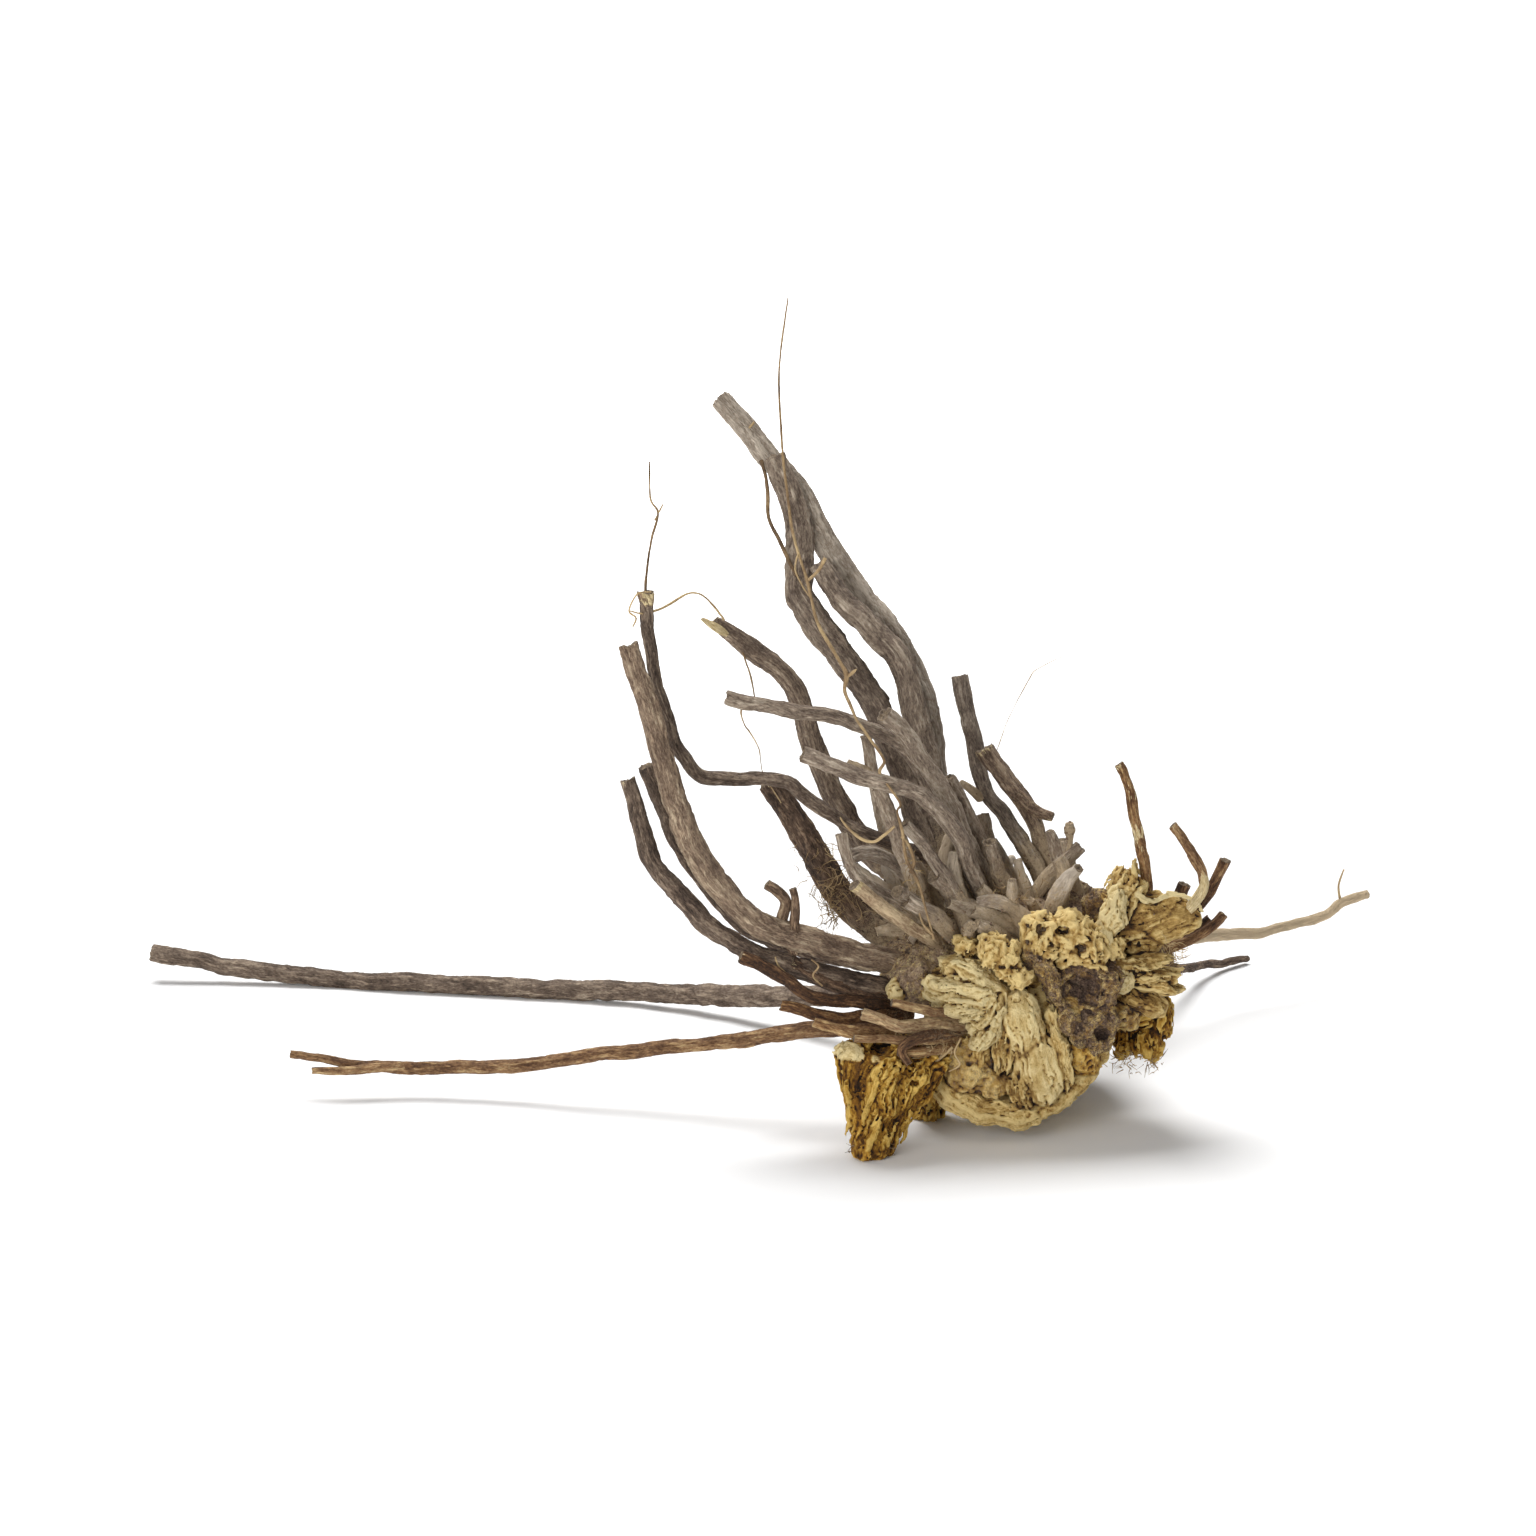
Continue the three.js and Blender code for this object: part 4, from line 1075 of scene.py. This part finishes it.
def crowded_bases():
    """Short broken roots that fill the gaps where the long ones leave the crown."""
    random = np.random.default_rng(BASE_SEED)
    x, y, z = BASE_MIDDLE
    wide, deep = BASE_SPREAD
    routes = {}
    for number in range(BASE_COUNT):
        turn, reach = random.uniform(0, 2 * math.pi), math.sqrt(random.uniform())
        start = Vector((x + wide * reach * math.cos(turn), y + deep * reach * math.sin(turn), z))
        heading = Vector((-0.6 + random.normal() * 0.22, (start.y - y) * 0.05 + random.normal() * 0.25, 0.78))
        heading.normalize()
        bend = Vector(random.normal(size=3)) * 0.10
        length, thick = random.uniform(5.0, 11.5), random.uniform(0.55, 1.1)
        name = f"base_{number}"
        routes[name] = []
        for share in (0.0, 0.35, 0.7, 1.0):
            heading = (heading + bend).normalized()
            point = start + heading * length * share
            routes[name].append((*point, thick * (1.25 - 0.55 * share ** 3)))
        LOOKS[name] = (random.uniform(0.78, 1.12), random.uniform(0.0, 0.35), 0.0, 1.2)
    return routes


BASE_ROUTES = crowded_bases()
print(len(BASE_ROUTES), "crowded bases")

# %% A tree that grows tubes along routes
CUT_RINGS = ((0.06, 0.9), (0.0, 0.72), (-0.07, 0.5), (-0.04, 0.4))     # rise and size of each ring
CAP_CORNERS = 4.5       # faces with more corners than this are the flat ends


def cap_end(flow, radius):
    """Rounds the lip of each flat end and sinks its middle a little, so that it reads as a cut."""
    tree = flow.tree
    picked = field(tree, "InputMeshFaceNeighbors").math("GREATER_THAN", CAP_CORNERS)
    for rise, size in CUT_RINGS:
        flow = step(flow, "ExtrudeMesh", {"Selection": picked, "Offset Scale": radius * rise})
        picked = Wire(tree, flow.socket.node.outputs["Top"])
        flow = step(flow, "ScaleElements", {"Selection": picked, "Scale": size}, domain="FACE")
        flow = keep(flow, "cut", kept(tree, "cut").math("MAXIMUM", picked.math("MULTIPLY", 1.0)))
    return flow


def centre_line(flow, inputs):
    """Bends the routes into smooth swaying lines, with the facts of place kept on them."""
    tree = flow.tree
    flow = step(flow, "MeshToCurve")
    flow = step(flow, "CurveSplineType", spline_type="CATMULL_ROM")
    flow = step(flow, "ResampleCurve", {"Length": inputs["Spacing"]}, mode="LENGTH")
    along = field(tree, "SplineParameter", output=1)
    number = kept(tree, "number")
    sway = drift(field(tree, "InputPosition") * 0.16 + join_parts(number, 0.0, 0.0), 1.0) * inputs["Sway"]
    flow = step(flow, "SetPosition", {"Offset": sway * along.ramp(1.0, 6.0)})
    flow = keep(flow, "along", along)
    flow = keep(flow, "to_tip", field(tree, "SplineLength") - along)
    flow = keep(flow, "heading", field(tree, "InputTangent"))
    swelling = (noise(join_parts(along * 0.2, number * 7.7, 0.0), 1.0, 3.0, 0.6) - 0.5) * 0.4
    return keep(flow, "thickness", kept(tree, "thickness") * (swelling + 1.0))


def tube(flow, inputs):
    """Lays a tube on the lines and closes its ends."""
    tree = flow.tree
    thick = kept(tree, "thickness")
    circle = field(tree, "CurvePrimitiveCircle", {"Resolution": inputs["Sides"], "Radius": 1.0})
    circle = keep(circle, "ring", field(tree, "InputPosition"))
    flow = step(flow, "CurveToMesh", {"Profile Curve": circle, "Scale": thick, "Fill Caps": True})
    return cap_end(keep(flow, "cut", thick * 0.0), thick)


def wrinkle_bark(flow, inputs):
    """Carves wrinkles along the root, tears its tips, and keeps the finish's facts."""
    tree = flow.tree
    position = field(tree, "InputPosition")
    along, tip, thick, cut = (kept(tree, name) for name in ("along", "to_tip", "thickness", "cut"))
    across = (kept(tree, "ring", "FLOAT_VECTOR") * thick) * (1.0, 1.0, 0.0)
    root_flow = across + join_parts(kept(tree, "number") * 5.3, 0.0, along)
    flow = keep(flow, "flow", root_flow)
    squeezed = root_flow * (1.0, 1.0, 0.11)
    folds = noise(squeezed, 0.85, 2.0, 0.5) - 0.5
    wrinkles = noise(squeezed + (3.0, 9.0, 0.0), 1.9, 3.0, 0.6) - 0.5
    groove = wrinkles.math("ABSOLUTE").ramp(0.0, 0.08, 1.0, 0.0)
    knots = noise(position, 0.45, 3.0, 0.6) - 0.5
    pits = noise(position, 2.2, 3.0, 0.65) - 0.5
    relief = folds * 0.85 + wrinkles * 0.42 - groove * 0.13 + knots * 0.35 + pits * 0.10
    side = relief * (thick * 0.62 + 0.12) * inputs["Wrinkle depth"] * cut.rest()
    face_relief = (noise(position, 1.6, 3.0, 0.6) - 0.5) * thick * 0.5 * cut
    broken = (noise(position, 0.75, 4.0, 0.62) - 0.5) * thick * 1.5
    broken = broken * inputs["Ragged tips"] * tip.ramp(1.0, 0.0)
    normal = field(tree, "InputNormal")
    heading = kept(tree, "heading", "FLOAT_VECTOR")
    grain = wrinkles * 1.3 - groove * 0.32 + folds * 0.35 + 0.5
    flow = keep(flow, "grain", grain.math("ADD", 0.0, clamp=True))
    flow = keep(flow, "peel", kept(tree, "peel") + tip.ramp(0.9, 0.1, 0.0, 0.28))
    flow = keep(flow, "dust", kept(tree, "dust") * along.ramp(12.0, 2.0, 0.0, 0.55))
    flow = step(flow, "SetPosition", {"Offset": normal * side + heading * (face_relief + broken)})
    height = field(tree, "InputPosition").part(2)
    above_table = join_parts(height * 0.0, 0.0, height.math("MINIMUM", 0.02) * -1.0)
    return step(flow, "SetPosition", {"Offset": above_table})


def grow_roots(name, routes, looks, spacing, sides, material, wrinkle=1.0, ragged=1.0, sway=1.0):
    """Turns routes into wrinkled tubes with broken tips, as one mesh."""
    tree, inputs = new_tree(name, {"Spacing": spacing, "Sides": sides, "Wrinkle depth": wrinkle,
                                   "Ragged tips": ragged, "Sway": sway}, True)
    flow = wrinkle_bark(tube(centre_line(inputs["Source"], inputs), inputs), inputs)
    close_tree(to_metres(flow), material)
    finished(name, tree, {"Spacing": spacing}, route_mesh(name, routes, looks))


for name, routes, spacing, sides, wrinkle in (
        ("tall_roots", TALL_ROOTS, 0.34, 38, 1.0), ("sweeping_roots", SWEEPING_ROOTS, 0.32, 34, 1.0),
        ("short_roots", SHORT_ROOTS, 0.3, 30, 1.15), ("root_bases", BASE_ROUTES, 0.36, 22, 1.7),
        ("side_stems", RIGHT_STEMS, 0.3, 28, 1.0), ("far_roots", FAR_ROOTS, 0.38, 26, 1.0)):
    grow_roots(name, routes, LOOKS, spacing, sides, BARK, wrinkle)

# %% [markdown]
# Hair-thin rootlets cling everywhere: a long one stands in front of the tall roots, some hang from the
# tips, and a beard covers the root at the left. They grow from the same tree as the thick roots, with
# few faces round them. Short hairs are random walks that start on a root.

# %% Long rootlets
HAIRS = {
    "long_rootlet": [(18.4, -4.6, 24, 0.16), (17, -4.2, 29.2, 0.16), (16.4, -4, 30.8, 0.23),
        (15.3, -3.6, 33.2, 0.2), (14.9, -3.4, 36, 0.22), (14.3, -3.2, 38.2, 0.17), (14.6, -3, 39.2, 0.2),
        (12.7, -2, 41.7, 0.16), (12.3, -2, 42.6, 0.2), (12.8, -1.6, 43.8, 0.16), (11.2, -1, 46.1, 0.17),
        (9.8, 0, 48, 0.16), (9, 0.6, 49.8, 0.19), (8.5, 1, 51.2, 0.23), (8.7, 1, 52.8, 0.31),
        (7.8, 2, 54.4, 0.2), (5.6, 3.6, 58, 0.2), (4.8, 4.6, 61, 0.17), (4.2, 5.4, 63.2, 0.19),
        (3, 7, 66.8, 0.16), (2.2, 9, 71, 0.16), (1.6, 10.5, 77, 0.16), (1.3, 12, 82, 0.15),
        (1.4, 13, 87, 0.14), (2.2, 14, 93, 0.1)],
    "rootlet_knot": [(8.4, 1, 52.2, 0.1), (9.4, 0.8, 53.1, 0.22), (9.8, 0.7, 53.5, 0.06)],
    "rootlet_side": [(4.4, 5.2, 62.6, 0.16), (5.6, 5, 63.8, 0.18), (6.4, 5, 65.2, 0.2)],
    "rootlet_loop": [(3.4, 6.2, 65.6, 0.1), (3, 5.8, 63.8, 0.1), (3.8, 5.4, 62, 0.1),
        (4.6, 4.8, 60.8, 0.09)],
    "rootlet_foot": [(18.2, -4.6, 24.6, 0.2), (17.2, -4.8, 25.8, 0.12), (16.8, -4.8, 27, 0.1)],
    "rootlet_second": [(14.8, -3.4, 35.4, 0.14), (15.6, -3.4, 34.4, 0.15), (16.2, -3.6, 32.6, 0.17),
        (15.8, -3.8, 31.4, 0.2)],
    "golden_thread": [(8, -2.6, 37.4, 0.08), (8.4, -2.8, 36.8, 0.14), (9.3, -2.8, 35.8, 0.16),
        (10.6, -2.8, 34.9, 0.18), (11.8, -2.8, 34.7, 0.2), (12.9, -2.6, 35.4, 0.2), (14, -2.4, 36.3, 0.18)],
    "thread_up": [(-13.6, 4, 61.2, 0.18), (-13.5, 5, 63.5, 0.16), (-13, 5.5, 67, 0.16),
        (-12.2, 6.5, 70, 0.18), (-13, 7, 71.5, 0.13), (-13.2, 8, 75.5, 0.12)],
    "thread_spur": [(-12.6, 6.4, 69.2, 0.12), (-11.7, 6.4, 71, 0.1)],
    "thread_hook": [(-13, 3.6, 61.6, 0.12), (-14.5, 3, 61.5, 0.12), (-15.4, 3, 59.6, 0.12),
        (-14.6, 3, 58.8, 0.13), (-15, 3, 57.8, 0.11)],
    "thread_arc": [(-15.2, 2, 59.8, 0.1), (-14, 3.2, 59.3, 0.11), (-12.5, 5.5, 59.2, 0.14),
        (-11, 7, 59.6, 0.13), (-9, 9, 60.4, 0.12), (-7.5, 10.5, 60, 0.12), (-6.2, 12.5, 58.4, 0.13),
        (-5, 14.5, 56.3, 0.13)],
    "hanging_upper": [(-3, 16.5, 52.6, 0.11), (-2.5, 16, 51, 0.11), (-2, 16, 49.5, 0.11),
        (-1.5, 14, 47.5, 0.1)],
    "hanging_lower": [(-2.4, 2, 49.4, 0.09), (-3, 2.5, 48.3, 0.1), (-2.6, 3.5, 46.5, 0.08),
        (-2, 4, 45.5, 0.08), (-1, 4.5, 43.5, 0.07), (-0.5, 5.5, 40.5, 0.07), (1.5, 6, 37, 0.06)],
    "beside_tall": [(-0.8, 35, 71, 0.3), (-0.3, 34, 69.5, 0.26), (0, 33, 67.5, 0.26), (0, 32, 65.5, 0.24),
        (0.5, 31, 64, 0.26), (1.5, 30, 62, 0.24), (2.5, 29, 60, 0.22), (3.4, 28, 58.6, 0.2)],
    "tall_spur": [(-2.6, 37, 74, 0.22), (-1.6, 37, 75.2, 0.12)],
    "faint_thread": [(25.5, 19, 38, 0.07), (26.5, 20, 40.5, 0.07), (28, 21.5, 44, 0.06),
        (30, 23, 47.5, 0.06), (31, 24.5, 48.4, 0.05), (34, 26, 49.6, 0.04)],
    "far_tip": [(70.6, 61, 11.8, 0.2), (70.4, 61, 13.5, 0.15), (71, 61, 15.5, 0.12)],
    "low_thread": [(2.5, -6, 20, 0.12), (1.2, -6.6, 21.4, 0.1), (0.8, -7, 22.6, 0.08)],
    "lowest_thread": [(6, -6, 19, 0.13), (5, -7, 20.4, 0.11), (5.6, -7.4, 21.6, 0.08),
        (4.8, -7.6, 22.4, 0.07)],
    "splinter": [(20.6, -4.4, 11.4, 0.2), (18.7, -5, 10, 0.22), (17.2, -5.4, 9.4, 0.18),
        (15.8, -5.8, 8.8, 0.06)],
    "curled_fibre": [(21.5, -4.2, 12.4, 0.12), (20.8, -5, 11, 0.13), (21.4, -5, 9.6, 0.13),
        (20.2, -5, 8.8, 0.09)],
    "curled_fibre_two": [(17.2, -4.2, 12.6, 0.13), (17.9, -5, 11.2, 0.14), (17.6, -5.2, 9.8, 0.12),
        (18.6, -5.2, 9, 0.06)],
}
HAIR_TONES = {
    "long_rootlet": 0.6, "golden_thread": 0.72, "thread_up": 0.45, "thread_hook": 0.75, "thread_arc": 0.85,
    "hanging_upper": 0.6, "hanging_lower": 0.6, "beside_tall": 0.35, "far_tip": 0.75, "splinter": 0.92,
    "curled_fibre": 0.8, "curled_fibre_two": 0.8, "faint_thread": 0.7,
}
HAIR_LOOKS = {name: (tone, 0, 0, 0) for name, tone in HAIR_TONES.items()}
grow_roots("long_rootlets", HAIRS, HAIR_LOOKS, 0.25, 10, ROOTLET, 1.1, 0.2, 0.35)

# %% Short hairs as random walks
# where they grow: start, end, spread round the line, length, how many, tone
BEARDS = (
    ((12, 11, 21.5), (4.5, 11.5, 31.5), 1.7, 4.2, 170, 0.66),     # the bearded root
    ((7.5, 10, 22.5), (6, 8.5, 27.5), 1.8, 4.2, 100, 0.7),     # its lower side
    ((13.5, 0, 19), (20.5, 2, 23), 2.6, 3, 90, 0.55),     # over the low bases
    ((21, 3, 24), (30, 4, 27), 2.4, 2.4, 70, 0.6),
    ((14, -6, 12.5), (21, -4, 12), 1.6, 2.4, 70, 0.75),     # under the low front roots
    ((15.5, 1, 33.5), (17, -1, 26), 0.8, 2, 40, 0.65),     # along the long rootlet's foot
    ((39.5, 5.5, 7.5), (44.5, 6, 6.5), 1.6, 1.8, 60, 0.7),     # ragged foot of the hanging stump
    ((9.5, -9.5, 1.4), (13.5, -8.5, 1.6), 1, 1.2, 40, 0.5),     # foot of the front stump
    ((46.5, 2, 19.5), (45, 2, 22), 1, 1.6, 30, 0.85),     # edge of the lobes
    ((-14, 4, 60.8), (-13, 4, 61), 0.4, 1.2, 8, 0.8),
)
HAIR_SEED = 11
HAIR_STEP = 0.42


def walk_hair(random, start, length):
    """One curled hair: each step turns a little, and the whole of it sags."""
    heading = Vector(random.normal(size=3)).normalized()
    turn = Vector(random.normal(size=3)) * 0.35
    point = Vector(start)
    steps = max(4, int(length / HAIR_STEP))
    route = []
    for index in range(steps):
        route.append((*point, max(0.02, 0.06 * (1 - index / steps))))
        turn = turn * 0.75 + Vector(random.normal(size=3)) * 0.26
        heading = (heading + turn + Vector((0, 0, -0.10))).normalized()
        point = point + heading * HAIR_STEP
        point.z = max(point.z, 0.15)
    return route


beard_random = np.random.default_rng(HAIR_SEED)
SHORT_HAIRS, SHORT_LOOKS = {}, {}
for start, end, spread, length, count, tone in BEARDS:
    for _ in range(count):
        name = len(SHORT_HAIRS)
        middle = Vector(start).lerp(Vector(end), beard_random.uniform())
        middle += Vector(beard_random.normal(size=3)) * spread * 0.45
        SHORT_HAIRS[name] = walk_hair(beard_random, middle, length * beard_random.uniform(0.4, 1.2))
        SHORT_LOOKS[name] = (tone + beard_random.uniform(-0.15, 0.15), 0, 0, 0)
grow_roots("short_hairs", SHORT_HAIRS, SHORT_LOOKS, 0.22, 4, ROOTLET, 0.0, 0.0, 0.0)
print(len(SHORT_HAIRS), "short hairs")

# %% [markdown]
# Dry soil clings where the roots crowd together. A second kind of tree scatters crumbs over finished
# meshes: more where they are marked as soiled, each turned and sized at random, and then dented by
# noise, so that no two look alike.

# %% A tree that scatters crumbs


CRUMB_PATCHES = 450.0       # patches of crumbs for each metre
DENT_SCALE = 2600.0
DENT_DEPTH = 0.22 * MM
FULL_TURN = 6.28


def scatter(name, hosts, mark, density, smallest, largest, seed, low, high):
    """Scatters rough balls of twenty faces over the hosts inside a box, by a mark's strength."""
    tree, inputs = new_tree(name, {"Density": density, "Smallest": smallest, "Largest": largest,
                                   "Seed": seed})
    together = tree.nodes.new("GeometryNodeJoinGeometry")
    for host in hosts:
        surface = field(tree, "ObjectInfo", {"Object": bpy.data.objects[host]}, "Geometry")
        plug(tree, surface, together.inputs["Geometry"])
    strength = kept(tree, mark).ramp(0.25, 0.6)
    position = field(tree, "InputPosition")
    for axis, (near, far) in enumerate(zip(low, high)):
        strength = strength * position.part(axis).math("COMPARE", (near + far) / 2, (far - near) / 2)
    patches = noise(position, CRUMB_PATCHES, 3.0, 0.6).ramp(0.42, 0.6)
    flow = step(Wire(tree, together.outputs[0]), "DistributePointsOnFaces",
                {"Density": strength * patches * inputs["Density"], "Seed": inputs["Seed"]})
    spin = add(tree, "FunctionNodeRandomValue", {"Max": (FULL_TURN, FULL_TURN, FULL_TURN),
                                                 "Seed": seed + 1}, data_type="FLOAT_VECTOR")
    small = add(tree, "FunctionNodeRandomValue", {"Seed": seed + 2})
    size = small.math("POWER", 2.5) * (inputs["Largest"] - inputs["Smallest"]) + inputs["Smallest"]
    ball = field(tree, "MeshIcoSphere", {"Radius": MM / 2, "Subdivisions": 1})
    flow = step(flow, "InstanceOnPoints", {"Instance": ball, "Scale": size,
                                           "Rotation": add(tree, "FunctionNodeEulerToRotation", (spin,))})
    flow = step(flow, "RealizeInstances")
    flow = step(flow, "SetPosition", {"Offset": drift(position, DENT_SCALE) * DENT_DEPTH})
    close_tree(flow, CRUMB)
    finished(name, tree, {"Seed": seed})


CROWN_HOSTS = ("crown_body", "face_fan", "face_sponge", "crown_wing")
ROOT_HOSTS = ("tall_roots", "short_roots", "root_bases", "sweeping_roots")
scatter("soil_crumbs", CROWN_HOSTS, "soil", 2.4e6, 0.08, 0.5, 5, (-0.1, -0.1, 0.01), (0.1, 0.01, 0.1))
scatter("root_dust", ROOT_HOSTS, "dust", 1.6e6, 0.10, 0.45, 8, (-0.1, -0.1, 0.01), (0.1, 0.05, 0.036))

# %% [markdown]
# The stage is a white floor and a white world. The big lamp hangs above and a little behind, so that the
# soft shadow falls towards the camera, and a low one in front lights the face. Near the plant the floor
# shows its real shading; farther out it glows white, for camera, glossy and clear rays only.

# %% Floor, world and lamps
SKY_STRENGTH = 0.22
SHADED_REACH = 0.15      # metres from the middle where the glow begins
WHITE_REACH = 0.40
FLOOR_HALF = 3.0
WHITE = (1, 1, 1, 1)


def seen_straight(tree):
    """One for rays that come from the camera, a mirror or clear glass, and nought for the rest."""
    camera_ray = add(tree, "ShaderNodeLightPath", (), "Is Camera Ray")
    kinds = camera_ray.socket.node.outputs
    seen = camera_ray.math("MAXIMUM", Wire(tree, kinds["Is Glossy Ray"]))
    return seen.math("MAXIMUM", Wire(tree, kinds["Is Transmission Ray"]))


world = bpy.data.worlds.new("studio")
bpy.context.scene.world = world
world.use_nodes = True
sky = world.node_tree
background = sky.nodes["Background"].inputs
background["Color"].default_value = WHITE
plug(sky, seen_straight(sky) * (1 - SKY_STRENGTH) + SKY_STRENGTH, background["Strength"])

corners = [(-FLOOR_HALF, -FLOOR_HALF, 0), (FLOOR_HALF, -FLOOR_HALF, 0),
           (FLOOR_HALF, FLOOR_HALF, 0), (-FLOOR_HALF, FLOOR_HALF, 0)]
floor_mesh = bpy.data.meshes.new("floor")
floor_mesh.from_pydata(corners, [], [(0, 1, 2, 3)])
floor = new_object("floor", floor_mesh)
paper = bpy.data.materials.new("paper")
paper.use_nodes = True
paper_tree = paper.node_tree
paper_shader = paper_tree.nodes["Principled BSDF"].inputs
for name, value in (("Base Color", (0.95, 0.95, 0.95, 1)), ("Roughness", 0.9), ("Specular IOR Level", 0.0),
                    ("Emission Color", WHITE)):
    paper_shader[name].default_value = value
from_middle = add(paper_tree, "ShaderNodeTexCoord", (), "Object").vector_math("LENGTH")
glow = seen_straight(paper_tree) * from_middle.ramp(SHADED_REACH, WHITE_REACH)
plug(paper_tree, glow, paper_shader["Emission Strength"])
floor_mesh.materials.append(paper)

LAMPS = (("high lamp", (-0.15, 0.36, 0.78), 0.55, 9.5), ("side lamp", (0.55, -0.2, 0.45), 0.5, 0.3),
         ("low front lamp", (-0.3, -0.65, 0.16), 0.5, 4.0))
for name, spot, size, power in LAMPS:
    lamp = bpy.data.lights.new(name, "AREA")
    lamp.size = size
    lamp.energy = power
    lamp_object = new_object(name, lamp)
    lamp_object.location = spot
    lamp_object.rotation_euler = (Vector((0, 0, 0.03)) - Vector(spot)).to_track_quat("-Z", "Y").to_euler()
bpy.context.scene.view_settings.view_transform = "Standard"
print("stage:", floor.name, "and", len(LAMPS), "lamps")
